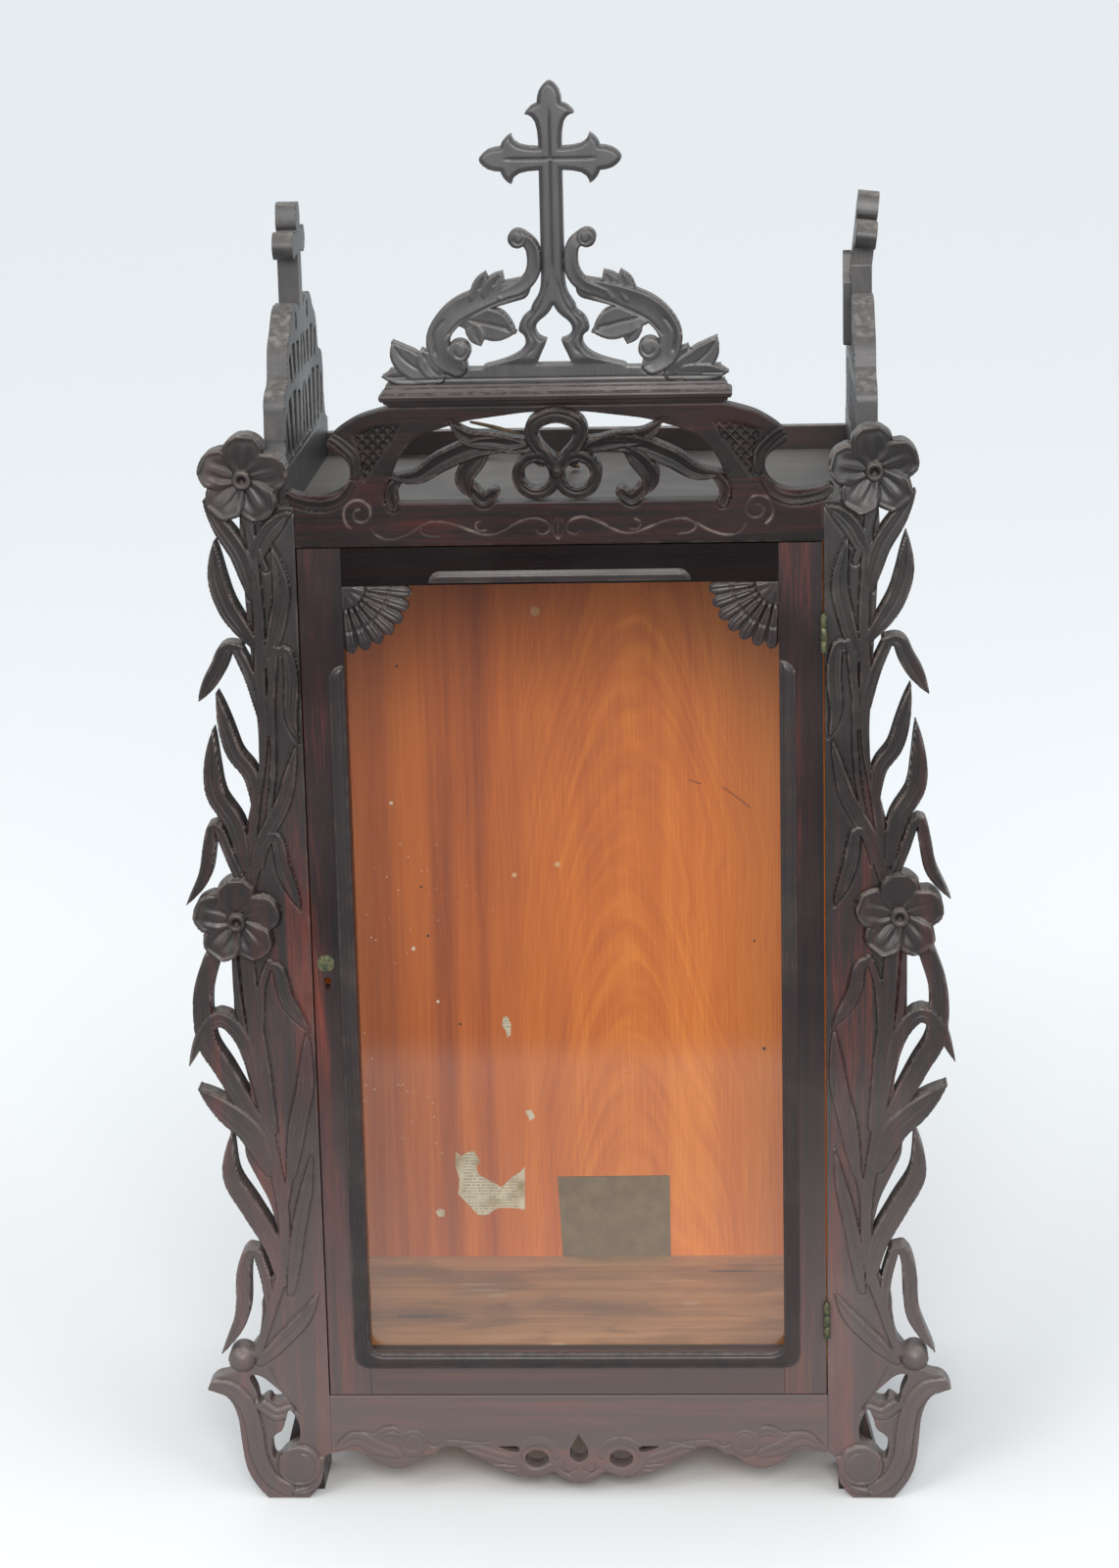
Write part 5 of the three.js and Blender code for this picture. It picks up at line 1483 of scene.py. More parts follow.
@dataclass
class Cornice:
    """The moulding that lies on the arch."""

    half_width: float = 151.0
    overhang: float = 8.5
    bottom: float = 1071.8
    height: float = 20.0
    profile: tuple[Point, ...] = (
        (0, 0), (0.04, 0.12), (0.1, 0.2), (0.12, 0.42), (0.15, 0.52), (0.24, 0.56), (0.26, 0.78),
        (0.32, 0.92), (0.4, 0.99), (0.46, 1), (0.54, 0.97), (0.6, 0.88), (0.64, 0.72), (0.66, 0.56),
        (0.74, 0.5), (0.82, 0.46), (0.86, 0.34), (0.9, 0.28), (1, 0.26),
    )

    def build(self, material: Material) -> Piece:
        """Builds the moulding with its mitred corners.

        Args:
            material: Its finish.

        Returns:
            The finished piece.
        """
        rings, steps = [], 30
        for share, out in self.profile:
            x = self.half_width + self.overhang * out
            y0, y1 = FRONT - self.overhang * out, FRONT + BOARD + self.overhang * out
            z = self.bottom + self.height * share
            across = np.linspace(-x, x, steps)
            front = [(a, y0 + 0.12 * math.sin(a * 0.11), z) for a in across]
            rings.append(np.array(front + [(a, y1, z) for a in across[::-1]]))
        count = len(rings[0])
        faces = [list(range(count)), list(range((len(rings) - 1) * count, len(rings) * count))]
        for k in range(len(rings) - 1):
            for i in range(count):
                j = (i + 1) % count
                faces.append([k * count + i, k * count + j, (k + 1) * count + j, (k + 1) * count + i])
        parts = MeshParts()
        parts.add(np.concatenate(rings) * MM, faces)
        piece = parts.piece("arch_cornice", "cabinet", material, 38)
        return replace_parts(piece, "cornice_moulding")


@dataclass
class CrossCrest:
    """The fretted board over the cornice: a cross between scrolls and leaves."""

    pitch: float = 0.9
    shaft: float = 10.3
    arm_height: float = 199.4
    arm_reach: float = 63.5
    height: float = 267.4
    base: float = 15.5
    finial: tuple[Point, ...] = (
        (52, 10.3), (43, 11), (36, 12.6), (31.5, 15.6), (29.5, 18.5), (28.6, 22.2), (25, 20),
        (22, 16.8), (20, 13.4), (19.2, 10.8), (14, 10.4), (8, 8.6), (3.6, 5.6), (1, 2.6),
    )
    leg: tuple[Point, ...] = (
        (0, 104), (10.3, 104), (10.6, 90), (12, 82), (15, 76), (19.8, 69), (20.2, 64.5), (25, 61.5),
        (29.5, 56.5), (31.6, 50), (31.8, 46), (27.5, 43.6), (25.8, 40), (25.5, 36), (27, 32), (31.5, 27),
        (40, 22.5), (52, 18.5), (66, 15.5), (66, 6), (0, 6),
    )
    leg_gap: tuple[Point, ...] = (
        (0, 69.5), (3, 64), (7.5, 59.5), (13, 55.5), (16.3, 51), (16.6, 46.5), (14.5, 42), (10.5, 39.6),
        (6.4, 38.5), (8.2, 33), (11, 27.5), (15.8, 16.5),
    )
    scrolls: list[tuple[Path, float]] = field(default_factory=lambda: [
        ([(28, 131), (18, 121), (17, 102), (26, 88), (46, 79)], 13),
        ([(30, 84), (62, 76), (88, 64), (104, 44), (102, 24), (88, 15)], 22),
    ])
    blades: list[tuple[Path, float]] = field(default_factory=lambda: [
        ([(60, 72), (54, 86), (46, 99)], 14),
        ([(72, 70), (66, 84), (61, 99)], 13),
        ([(80, 58), (60, 54), (46, 49), (35, 45)], 24),
        ([(76, 54), (70, 44), (66, 34)], 13),
        ([(106, 6), (124, 14), (138, 25), (146, 38)], 20),
        ([(104, 6), (114, 18), (120, 31)], 16),
        ([(108, 7), (132, 7), (156, 7)], 14),
    ])
    grooves: list[tuple[Path, float, float]] = field(default_factory=lambda: [
        ([(99, 58), (108, 44), (107, 26)], 2.0, 1.0),
        ([(35, 78), (60, 68), (84, 56), (97, 42)], 2.0, 1.2),
        ([(40, 49), (56, 53), (74, 57)], 1.8, 1.0),
        ([(4, 92), (7, 80), (12, 68), (18, 60), (23, 52), (21, 43), (17.5, 37), (18.5, 31), (24, 25)],
         1.8, 0.8),
    ])

    def put(self, points: Iterable[Point], side: int = 1) -> Path:
        """Puts a drawing of the crest on its left or right half."""
        return placed(points, side, CREST_FOOT)

    def arm(self, tip: Point, toward: Point) -> Path:
        """The outline of a cross arm's trefoil end.

        Args:
            tip: The arm's furthest point.
            toward: The way it points.

        Returns:
            The outline.
        """
        across = (-toward[1], toward[0])
        right, left = (
            [(tip[0] - toward[0] * back + side * across[0] * half,
              tip[1] - toward[1] * back + side * across[1] * half) for back, half in self.finial]
            for side in (1, -1)
        )
        return [*right, tip, *left[::-1]]

    def build(self, material: Material) -> Piece:
        """Builds the crest.

        Args:
            material: Its finish.

        Returns:
            The finished piece.
        """
        put = self.put
        carving = Carving((-158, CREST_FOOT), (158, CREST_FOOT + self.height), self.pitch)
        tips = [((0, self.height), (0, 1)), ((self.arm_reach, self.arm_height), (1, 0)),
                ((-self.arm_reach, self.arm_height), (-1, 0))]
        for tip, toward in tips:
            carving.board(put(self.arm(tip, toward)))
        s, a = self.shaft, self.arm_height
        reach, top = self.arm_reach - 36, self.height - 36
        bars = (((-s, 84), (s, top)), ((-reach, a - s), (reach, a + s)), ((-150, 0), (150, self.base - 2)))
        for low, high in bars:
            carving.board(put(oblong(low, high)))
        foot = soften(put(both_halves(self.leg)), put([(0, 104), (10.3, 104), (-10.3, 104), (0, 6)]), 3)
        corners = [self.leg_gap[k] for k in (0, 8, 11)]
        carving.board(foot, [soften(put(both_halves(self.leg_gap)), put(corners + mirrored(corners)), 2)])
        self.ridge(carving)
        for side in (-1, 1):
            carving.leaves(Leaf(put(p, side), w, Form.RIBBON, rise=2.4, free=True, dish=0.2, veins=0)
                           for p, w in self.scrolls)
            carving.leaves(Leaf(put(p, side), w * 1.2, rise=1.7, foot=0.4, free=True, dish=0.15, lean=0.4)
                           for p, w in self.blades)
            for centre, radius in (((31, 129), 8.5), ((86, 29), 10.5)):
                (middle,) = put([centre], side)
                carving.disc(middle, radius, 2.6, 0.4, free=True)
                carving.groove(spiral(middle, radius - 1.6, 2.5, 90, 0.8 * side), 1.6, 0.8)
            for path, width, depth in self.grooves:
                carving.groove(put(path, side), width, depth)
        carving.groove(put([(-148, 4), (148, 4)]), 1.4, 0.6, smooth=False)
        carving.finish(sink=0.4)
        lie = Lie(Facing.FRONT, CREST_FRONT, CREST_THICKNESS)
        return carved_piece(carving, lie, ("scrolled_cross_crest", "cross_crest"), "cabinet", material)

    def ridge(self, carving: Carving) -> None:
        """Bevels the cross's edges and cuts a fine line along its shaft and arms.

        Args:
            carving: The crest's carving.
        """
        z = carving.gz - CREST_FOOT
        carving.height += 1.6 * eased(carving.inside, 0.2, 4.0) * eased(z, 16, 22)
        upright = eased(z, 84, 110) * eased(z, self.height - 22, self.height - 34)
        across = eased(np.abs(carving.ga), self.arm_reach - 20, self.arm_reach - 30)
        line = np.maximum(upright * np.exp(-((carving.ga / 1.0) ** 2)),
                          across * np.exp(-(((z - self.arm_height) / 1.0) ** 2)))
        carving.height -= 0.8 * line


@dataclass
class SideCrest:
    """A stepped, pierced board that stands on the top board's side edge, with a small cross."""

    side: int
    broken: bool
    pitch: float = 1.5
    lean: float = 6.4
    outline: Path = field(default_factory=lambda: [
        (13, 172), (30, 183), (60, 183), (78, 178), (96, 162), (112, 155), (118, 148), (126, 118), (150, 113),
        (160, 106), (162, 60), (168, 44), (188, 38), (188, 0),
    ])
    slots: list[Path] = field(default_factory=lambda: [
        [(38, 158), (52, 158), (50, 176), (42, 176)],
        [(8, 116), (18, 116), (16, 142), (4, 156)],
        [(32, 116), (46, 116), (48, 148), (30, 146)],
        [(60, 116), (74, 116), (84, 148), (64, 148)],
        [(88, 114), (102, 114), (110, 138), (99, 144)],
        [(6, 50), (22, 50), (16, 96), (4, 104)],
        [(36, 48), (52, 48), (50, 102), (32, 98)],
        [(66, 46), (82, 46), (88, 104), (66, 104)],
        [(96, 48), (112, 48), (126, 100), (106, 103)],
        [(126, 50), (142, 50), (150, 84), (142, 94)],
    ])
    shaft: float = 13.5
    reach: float = 48.0
    break_height: float = 205.0
    scale: float = 272 / 275
    splinter: tuple[Point, ...] = (
        (-9, 130), (12, 130), (13, 200), (11, 220), (7, 213), (4, 208), (1, 216), (-2, 218), (-6, 200),
        (-9, 190),
    )

    @property
    def outer(self) -> float:
        """Where the crest's outer face lies."""
        return -SIDE_OUTER if self.side < 0 else SIDE_OUTER + RIGHT_OVERHANG

    def head(self, carving: Carving, whole: bool) -> None:
        """Draws the small cross above its shaft.

        Args:
            carving: The carving that it goes on.
            whole: Whether both arms are there.
        """
        up = self.up
        s, reach = self.shaft - (0 if whole else 0.4), self.reach
        carving.board(up(oblong((-s, 193), (s, 267))))
        crown = [(-s - 2, 249), (s + 2, 249), (s + 2, 262), (s - 2, 275), (-s + 2, 275), (-s - 2, 262)]
        carving.board(soften(up(crown), (), 3))
        for end in (-1, 1) if whole else (-1,):
            carving.board(up(placed(oblong((0, 227), (reach - 6, 247)), end)))
            (middle,) = up([(end * (reach - 11), 237)])
            carving.board(arc(middle, 13, 0, 345, 23))

    def up(self, points: Iterable[Point]) -> Path:
        """Puts a drawing of the crest in its place along the case's depth."""
        return [(SIDE_MIDDLE + s, SIDE_CREST_FOOT + h * self.scale) for s, h in points]

    def build(self, material: Material) -> Piece:
        """Builds the crest.

        Args:
            material: Its finish.

        Returns:
            The finished piece.
        """
        side, up = self.side, self.up
        facing = Facing.LEFT if side < 0 else Facing.RIGHT
        lie = Lie(facing, self.outer, BOARD, double=True)
        low, high = (SIDE_MIDDLE - 188, SIDE_CREST_FOOT), (SIDE_MIDDLE + 188, SIDE_CREST_FOOT + 276)
        carving = Carving(low, high, self.pitch)
        feet = up([(188, 0), (188, 38), (-188, 0), (-188, 38)])
        holes = [soften(up(hole), (), 2) for slot in self.slots for hole in (slot, mirrored(slot))]
        carving.board(soften(up(both_halves(self.outline)), feet, 5), holes)
        carving.board(up(oblong((-self.shaft, 150), (self.shaft, self.break_height + 3))))
        for h, reach in ((112, 120), (44, 150)):
            carving.groove(up([(-reach, h), (reach, h)]), 2.0, 0.9, smooth=False)
        parts = MeshParts()
        if not self.broken:
            self.head(carving, True)
        carving.finish(1.4, 0)
        carving.height = np.minimum(carving.height, 0)
        board_body(carving, lie, parts)
        if self.broken:
            self.leaning_head(lie, parts)
        name = "left" if side < 0 else "right"
        piece = parts.piece(f"{name}_stepped_crest", "cabinet", material)
        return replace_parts(piece, f"{name}_side_crest")

    def leaning_head(self, lie: Lie, parts: MeshParts) -> None:
        """Adds the snapped cross that leans outwards, and the splinter beside it.

        Args:
            lie: How the crest's board lies.
            parts: Where they are added.
        """
        middle, foot = SIDE_MIDDLE, SIDE_CREST_FOOT
        carving = Carving((middle - 64, foot + 190), (middle + 20, foot + 276), self.pitch)
        self.head(carving, False)
        carving.finish(1.4, 0)
        carving.height = np.minimum(carving.height, 0)
        pivot = Vector((self.outer, 0, foot + self.break_height * self.scale)) * MM
        turn = Matrix.Rotation(self.side * math.radians(self.lean), 4, "Y")
        board_body(carving, lie, parts, Matrix.Translation(pivot) @ turn @ Matrix.Translation(-pivot))
        thin = Carving((middle - 10, foot + 128), (middle + 14, foot + 220), 0.9)
        thin.board(self.up(self.splinter))
        thin.finish(0.8, 0)
        board_body(thin, Lie(Facing.LEFT, self.outer - BOARD - 7, 8), parts)


@dataclass
class Apron:
    """The carved and pierced board under the door."""

    pitch: float = 0.9
    top: float = 107.5
    edge: Path = field(default_factory=lambda: [
        (229, 49), (217, 50), (207, 46), (187, 32), (175, 30), (163, 34), (152, 45), (142, 45), (132, 54),
        (116, 54), (104, 45), (82, 33), (68, 25), (56, 22), (44, 21), (32, 25), (24, 28), (17, 21), (8, 16),
        (0, 15),
    ])
    blades: list[tuple[Path, float]] = field(default_factory=lambda: [
        ([(176, 46), (196, 52), (218, 62), (238, 50)], 15),
        ([(172, 66), (184, 70), (196, 64)], 9),
        ([(62, 38), (84, 44), (100, 50), (117, 51)], 12),
        ([(84, 32), (70, 30), (56, 31)], 9),
    ])
    ring: Path = field(default_factory=lambda: [
        (22, 44), (26, 54), (40, 60), (56, 54), (62, 42), (54, 30), (40, 26), (28, 32),
    ])
    drop: Path = field(default_factory=lambda: [
        (0, 67), (5, 58), (9.5, 49), (8, 41), (0, 36), (-8, 41), (-9.5, 49), (-5, 58),
    ])
    grooves: list[tuple[Path, float, float]] = field(default_factory=lambda: [
        ([(240, 52), (226, 66), (214, 70), (200, 68), (190, 74), (176, 76)], 1.8, 1.1),
        ([(148, 58), (140, 54), (132, 60)], 1.8, 1.1),
        ([(130, 61), (112, 60), (96, 58), (84, 60)], 1.6, 0.9),
        ([(3, 30), (12, 26), (20, 32)], 1.8, 1.2),
        ([(6, 22), (14, 28), (16, 38)], 1.6, 1.0),
    ])

    def build(self, material: Material) -> Piece:
        """Builds the apron.

        Args:
            material: Its finish.

        Returns:
            The finished piece.
        """
        half = POST_INNER - JOINT_GAP
        carving = Carving((-half, 15), (half, self.top), self.pitch)
        corners = [(half, self.top), (half, 47.0)]
        edge = [corners[1], *self.edge]
        outline = [corners[0], *edge, *mirrored(edge[:-1])[::-1], (-half, self.top)]
        eye = [(41 + 11.5 * x, 41 + 9 * z) for x, z in arc((0, 0), 1, 0, 345, 23)]
        wedge = soften([(80, 54), (58, 54), (58, 48), (67, 48)], (), 2)
        holes = [eye, mirrored(eye), wedge, mirrored(wedge), soften(self.drop, self.drop[:1], 3)]
        carving.board(soften(outline, corners + mirrored(corners), 5), holes)
        for side in (-1, 1):
            carving.leaves(Leaf(placed(p, side), w, rise=0.8, dish=0.2, lean=0.2) for p, w in self.blades)
            carving.leaf(Leaf(placed(self.ring, side), 9, Form.RIBBON, rise=0.8, dish=0.2, veins=0))
            carving.disc((side * 162, 57), 14, 0.8, 0.2)
            carving.groove(spiral((side * 162, 57), 12, 3, 200 if side > 0 else -20, -1.3 * side), 1.4, 0.7)
            for path, width, depth in self.grooves:
                carving.groove(placed(path, side), width, depth)
        carving.finish(sink=0.35)
        lie = Lie(Facing.FRONT, FRONT, BOARD)
        return carved_piece(carving, lie, ("scrolled_apron", "apron_rail"), "cabinet", material)


@dataclass
class Door:
    """The glazed door: four boards, their mouldings, the corner fans, the glass and the stud."""

    bead_width: float = 15.0
    bead_rise: float = 3.2
    bead_turn: float = 14.0
    bead_top: float = 833.0
    fan_reach: float = 63.8
    fan_boss: float = 21.0
    rays: int = 7

    def bead_field(self, low: Point, high: Point, outline: Path) -> Carving:
        """Carves a half-round moulding with a small step on its outer side.

        Args:
            low: The carving's lower left corner.
            high: Its upper right corner.
            outline: The moulding's outline.

        Returns:
            The carving.
        """
        carving = Carving(low, high, 1.1)
        carving.board(outline)
        depth = np.clip(2 * carving.inside / self.bead_width, 0, 1)
        round_part = np.sqrt(np.clip(1 - (1 - np.clip(depth / 0.9, 0, 1)) ** 2, 0, 1))
        step = np.exp(-(((carving.inside - 3.2) / 0.9) ** 2))
        carving.height = self.bead_rise * (round_part - 1) - 0.8 * step
        return carving

    def mouldings(self, material: Material) -> list[Piece]:
        """Builds the moulding round the glass and the short one over it.

        Args:
            material: Their finish.

        Returns:
            The finished pieces.
        """
        outer, low = SIGHT_HALF + self.bead_width, SIGHT_BOTTOM - self.bead_width
        top, r = self.bead_top, self.bead_turn
        half = [(0, SIGHT_BOTTOM), (SIGHT_HALF - r, SIGHT_BOTTOM),
                *arc((SIGHT_HALF - r, SIGHT_BOTTOM + r), r, -90, 0, 8), (SIGHT_HALF, top),
                *arc((SIGHT_HALF, top - r), self.bead_width, 90, 0, 10),
                *arc((outer - r, low + r), r, 0, -90, 8), (0, low)]
        outline = half[:-1] + mirrored(half)[::-1][:-1]
        lie = Lie(Facing.FRONT, FRONT - JOINT_GAP - self.bead_rise, self.bead_rise)
        surround = self.bead_field((-outer, low), (outer, top + 2), outline)
        low, high = SIGHT_TOP + 2, SIGHT_TOP + self.bead_width - 2
        end = [(120.0, low), *arc((109, high - 11), 11, 0, 90, 6)]
        short = self.bead_field((-120, low), (120, high), end + mirrored(end)[::-1])
        return [carved_piece(surround, lie, ("glass_moulding", "door_bead_surround"), "door", material),
                carved_piece(short, lie, ("short_moulding", "door_bead_top"), "door", material)]

    def fan(self, side: int, material: Material) -> Piece:
        """Builds a corner fan: a quarter boss and rays with scalloped ends.

        Args:
            side: -1 for the left corner, 1 for the right one.
            material: Its finish.

        Returns:
            The finished piece.
        """
        corner = (side * (SIGHT_HALF - JOINT_GAP), SIGHT_TOP - JOINT_GAP)
        reach, boss = self.fan_reach, self.fan_boss
        low = (min(corner[0], corner[0] - side * reach), corner[1] - reach)
        carving = Carving(low, (low[0] + reach, corner[1]), 0.75)
        u = (corner[0] - carving.ga) * side
        v = corner[1] - carving.gz
        away = np.hypot(u, v)
        angle = np.degrees(np.arctan2(v, u))
        step = 90 / self.rays
        part = np.mod(angle, step) / step
        across = np.abs(part - 0.5) * 2
        rim = reach - 7 * across**2.2
        carving.inside = np.minimum(np.minimum(u, v), rim - away)
        ray = np.clip(1 - (across / 0.86) ** 2, 0, 1) * eased(away, boss - 1, boss + 5)
        ends = np.sqrt(np.clip(1 - np.clip((away - (rim - 10)) / 9, 0, 1) ** 2, 0, 1))
        notch = np.exp(-(((away - boss - 22) / 1.6) ** 2))
        furrow = np.exp(-((across * away * math.radians(step / 2) / 1.1) ** 2))
        height = 2.9 * np.sqrt(ray) * ends - 1.3 * notch * ray - furrow * (away > boss + 6)
        flutes = 0.72 * np.cos(angle / 90 * 2 * math.pi * 3.5) * eased(away, 6, 16)
        dome = 2.9 + 2.2 * np.sqrt(np.clip(1 - (away / boss) ** 2, 0, 1)) - flutes
        carving.height = np.where(away < boss, dome, height)
        carving.height = np.minimum(carving.height, 4.7)
        carving.leafy[:] = 1
        short = np.clip(1 - carving.inside / 0.8, 0, 1)
        carving.height -= 0.8 * (1 - np.sqrt(1 - short**2))
        name = "left" if side < 0 else "right"
        names = (f"{name}_scalloped_fan", f"{name}_corner_fan")
        return carved_piece(carving, Lie(Facing.FRONT, FRONT + 2, 6.4), names, "door", material)

    def stud(self, material: Material) -> Piece:
        """Builds the round stud over the keyhole, with turned rings.

        Args:
            material: Its finish.

        Returns:
            The finished piece.
        """
        profile = [(0, 0.0), (8.5, 0.0), (8.5, 0.5), (8.1, 0.95), (7.2, 1.15), (6.8, 0.95), (6.3, 1.0),
                   (5.6, 1.55), (4.2, 1.85), (3.4, 1.7), (2.4, 1.75), (1.2, 1.95), (0, 2.0)]
        parts = MeshParts()
        turned_body(parts, profile, (-228, FRONT - JOINT_GAP, 546.5), Facing.FRONT, 48)
        piece = parts.piece("ringed_stud", "door", material, 60)
        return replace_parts(piece, "brass_stud")

    def build(self, upright: Material, across: Material, carved: Material,
              brass: Material) -> None:
        """Builds and dresses the door.

        Args:
            upright: The finish of the stiles.
            across: The finish of the rails.
            carved: The finish of the mouldings and the fans.
            brass: The finish of the stud.
        """
        for stile in ("door_lock_stile", "door_hinge_stile"):
            dress(stile, upright, 0.9)
        for rail in ("door_top_rail", "door_bottom_rail"):
            dress(rail, across, 0.9)
        dress("glass_pane", window_glass())
        self.mouldings(carved)
        for side in (-1, 1):
            self.fan(side, carved)
        self.stud(brass)


@dataclass
class Hinges:
    """Two butt hinges, each with a leaf in the post, a leaf in the door and a pin."""

    axis: Point = (240.75, -196.5)
    centres: dict[str, float] = field(default_factory=lambda: {"upper": 858.5, "lower": 186.0})
    height: float = 36.0
    radius: float = 3.2

    def build(self, brass: Material) -> None:
        """Builds the hinges' leaves, knuckles and pins with their true round shapes.

        Args:
            brass: Their finish.
        """
        step, r = self.height / 3, self.radius
        x, y = self.axis
        for name, centre in self.centres.items():
            bottom = centre - self.height / 2
            for leaf, body, direction, places in (("post", "cabinet", 1, (0, 2)), ("door", "door", -1, (1,))):
                parts = MeshParts()
                near, far = sorted((x + direction * 0.35, x + direction * 1.75))
                box = [(near, y + 3.5, bottom), (far, y + 15, bottom + self.height)]
                self.plate(parts, box)
                for k in places:
                    low, tall = bottom + k * step + 0.15, step - 0.3
                    self.plate(parts, [(near, y + 2.4, low), (far, y + 3.6, low + tall)])
                    ring = [(2.0, 0.0), (r - 0.3, 0.0), (r, 0.4),
                            (r, tall - 0.4), (r - 0.3, tall), (2.0, tall)]
                    self.tube(parts, ring, (x, y, low))
                piece = parts.piece(f"{name}_{leaf}_hinge", body, brass, 40)
                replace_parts(piece, f"{name}_hinge_{leaf}_leaf")
            parts = MeshParts()
            profile = [(0, -19.0), (1.1, -18.9), (1.5, -18.4), (1.5, 18.4), (1.1, 18.9), (0, 19.0)]
            turned_body(parts, profile, (x, y, centre), None, 20)
            piece = parts.piece(f"{name}_hinge_rod", "cabinet", brass, 40)
            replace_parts(piece, f"{name}_hinge_pin")

    def plate(self, parts: MeshParts, box: list[Place]) -> None:
        """Adds a flat plate.

        Args:
            parts: Where it is added.
            box: Its lower and upper corner.
        """
        low, high = np.array(box[0]), np.array(box[1])
        corners = np.array([[(low, high)[i][0], (low, high)[j][1], (low, high)[k][2]]
                            for i in (0, 1) for j in (0, 1) for k in (0, 1)])
        faces = [(0, 1, 3, 2), (4, 6, 7, 5), (0, 4, 5, 1), (2, 3, 7, 6), (0, 2, 6, 4), (1, 5, 7, 3)]
        parts.add(corners * MM, faces)

    def tube(self, parts: MeshParts, ring: Path, centre: Place) -> None:
        """Adds a tube with a closed section.

        Args:
            parts: Where it is added.
            ring: The section, as radius and height.
            centre: The middle of its lower end.
        """
        sides = 28
        x, y, z = centre
        angles = np.linspace(0, 2 * math.pi, sides, endpoint=False)
        corners = [(x + r * math.cos(t), y + r * math.sin(t), z + h) for t in angles for r, h in ring]
        n = len(ring)
        faces = []
        for i in range(sides):
            for k in range(n):
                a, b = i * n + k, i * n + (k + 1) % n
                c, d = (i + 1) % sides * n + (k + 1) % n, (i + 1) % sides * n + k
                faces.append((a, b, c, d))
        parts.add(np.array(corners) * MM, faces)


@dataclass
class Remnants:
    """The torn paper, the small scraps beside it and the card, inside the case."""

    outline: Path = field(default_factory=lambda: [
        (-144, 216), (-138, 211), (-133, 215), (-125, 217), (-121, 211), (-118, 204), (-122, 198),
        (-120, 190), (-114, 187), (-110, 184), (-104, 181), (-96, 176), (-91, 181), (-84, 188),
        (-77, 192), (-70.5, 199), (-71, 180), (-71.7, 150), (-84, 152), (-100, 152), (-106, 149),
        (-112, 144), (-122, 144), (-128, 151), (-136, 160), (-143, 168), (-141, 185), (-145, 200),
    ])
    scraps: tuple[Path, ...] = (
        ((-90, 366), (-85, 367), (-81, 358), (-82, 346), (-86, 342), (-87, 350), (-91, 356)),
        ((-69, 262), (-62, 263), (-58, 254), (-64, 250)),
        ((-168, 148), (-163, 152), (-157, 150), (-158, 142), (-164, 142)),
    )

    def sheet(self, outline: Path, thickness: float, curl: float) -> tuple[Carving, Lie]:
        """Draws a thin torn sheet with slightly lifted edges.

        Args:
            outline: The sheet's outline.
            thickness: Its thickness.
            curl: How far its edges lift.

        Returns:
            The carving and how it lies.
        """
        p = np.asarray(outline)
        carving = Carving(tuple(p.min(0)), tuple(p.max(0)), 0.8)
        carving.board(outline)
        a, z = carving.ga, carving.gz
        tear = 0.5 * np.sin(a * 2.1) * np.sin(z * 1.7) + 0.3 * np.sin(a * 4.3 + z * 3.1)
        carving.inside += tear - 0.3
        carving.height = -curl * eased(carving.inside, 0, 7)
        return carving, Lie(Facing.FRONT, PANEL_FRONT - JOINT_GAP - thickness, thickness)

    def build(self, paper: Material, card: Material) -> None:
        """Builds the paper and its scraps, and dresses the card.

        Args:
            paper: The paper's finish.
            card: The card's finish.
        """
        parts = MeshParts()
        carving, lie = self.sheet(self.outline, 0.8, 0.35)
        board_body(carving, lie, parts)
        for scrap in self.scraps:
            carving, lie = self.sheet(list(scrap), 0.6, 0.2)
            board_body(carving, lie, parts)
        piece = parts.piece("torn_printed_paper", "cabinet", paper)
        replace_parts(piece, "paper_remnant")
        dress("brown_card", card, 0.4)


@dataclass
class LooseStrip:
    """A thin split strip that leans from the top board against the back of the arch."""

    foot: Place = (5, 84, 966.4)
    head: Place = (-79, -166, 1051)
    width: float = 7.0
    thickness: float = 2.4

    def build(self, material: Material) -> Piece:
        """Builds the strip.

        Args:
            material: Its finish.

        Returns:
            The finished piece.
        """
        foot, head = Vector(self.foot), Vector(self.head)
        along = (head - foot).normalized()
        across = along.cross(Vector((0, 0, 1))).normalized()
        up = across.cross(along)
        steps, corners = 24, []
        for k in range(steps + 1):
            t = k / steps
            centre = foot.lerp(head, t) + up * (2.2 + 7.0 * math.sin(math.pi * t))
            half = self.width / 2 * (0.75 + 0.25 * math.sin(t * 7 + 1)) * (1 if k < steps else 0.4)
            deep = self.thickness / 2 * (1 + 0.2 * math.sin(t * 11))
            for i, j in ((-1, -1), (1, -1), (1, 1), (-1, 1)):
                corners.append(centre + across * i * half + up * j * deep)
        faces = [(0, 1, 2, 3), tuple(range(4 * steps, 4 * steps + 4))]
        for k in range(steps):
            for i in range(4):
                j = (i + 1) % 4
                faces.append((4 * k + i, 4 * k + j, 4 * k + 4 + j, 4 * k + 4 + i))
        parts = MeshParts()
        parts.add(np.array([tuple(c) for c in corners]) * MM, faces)
        piece = parts.piece("loose_split_strip", "cabinet", material, 60)
        return piece or piece


@dataclass
class CaseBoards:
    """The plain boards of the case."""

    def build(self, side: Material, top: Material, panel: Material,
              floor: Material, rail: Material) -> None:
        """Dresses the case's boards.

        Args:
            side: The side panels' finish.
            top: The top board's finish.
            panel: The back panel's finish.
            floor: The inner floor's finish.
            rail: The back rail's finish.
        """
        dress("left_side_panel", side, 1.5)
        dress("right_side_panel", side, 1.5)
        dress("top_board", top, 1.5)
        dress("back_panel", panel, 0.8)
        dress("floor_board", floor, 0.8)
        dress("back_top_rail", rail, 1.5)


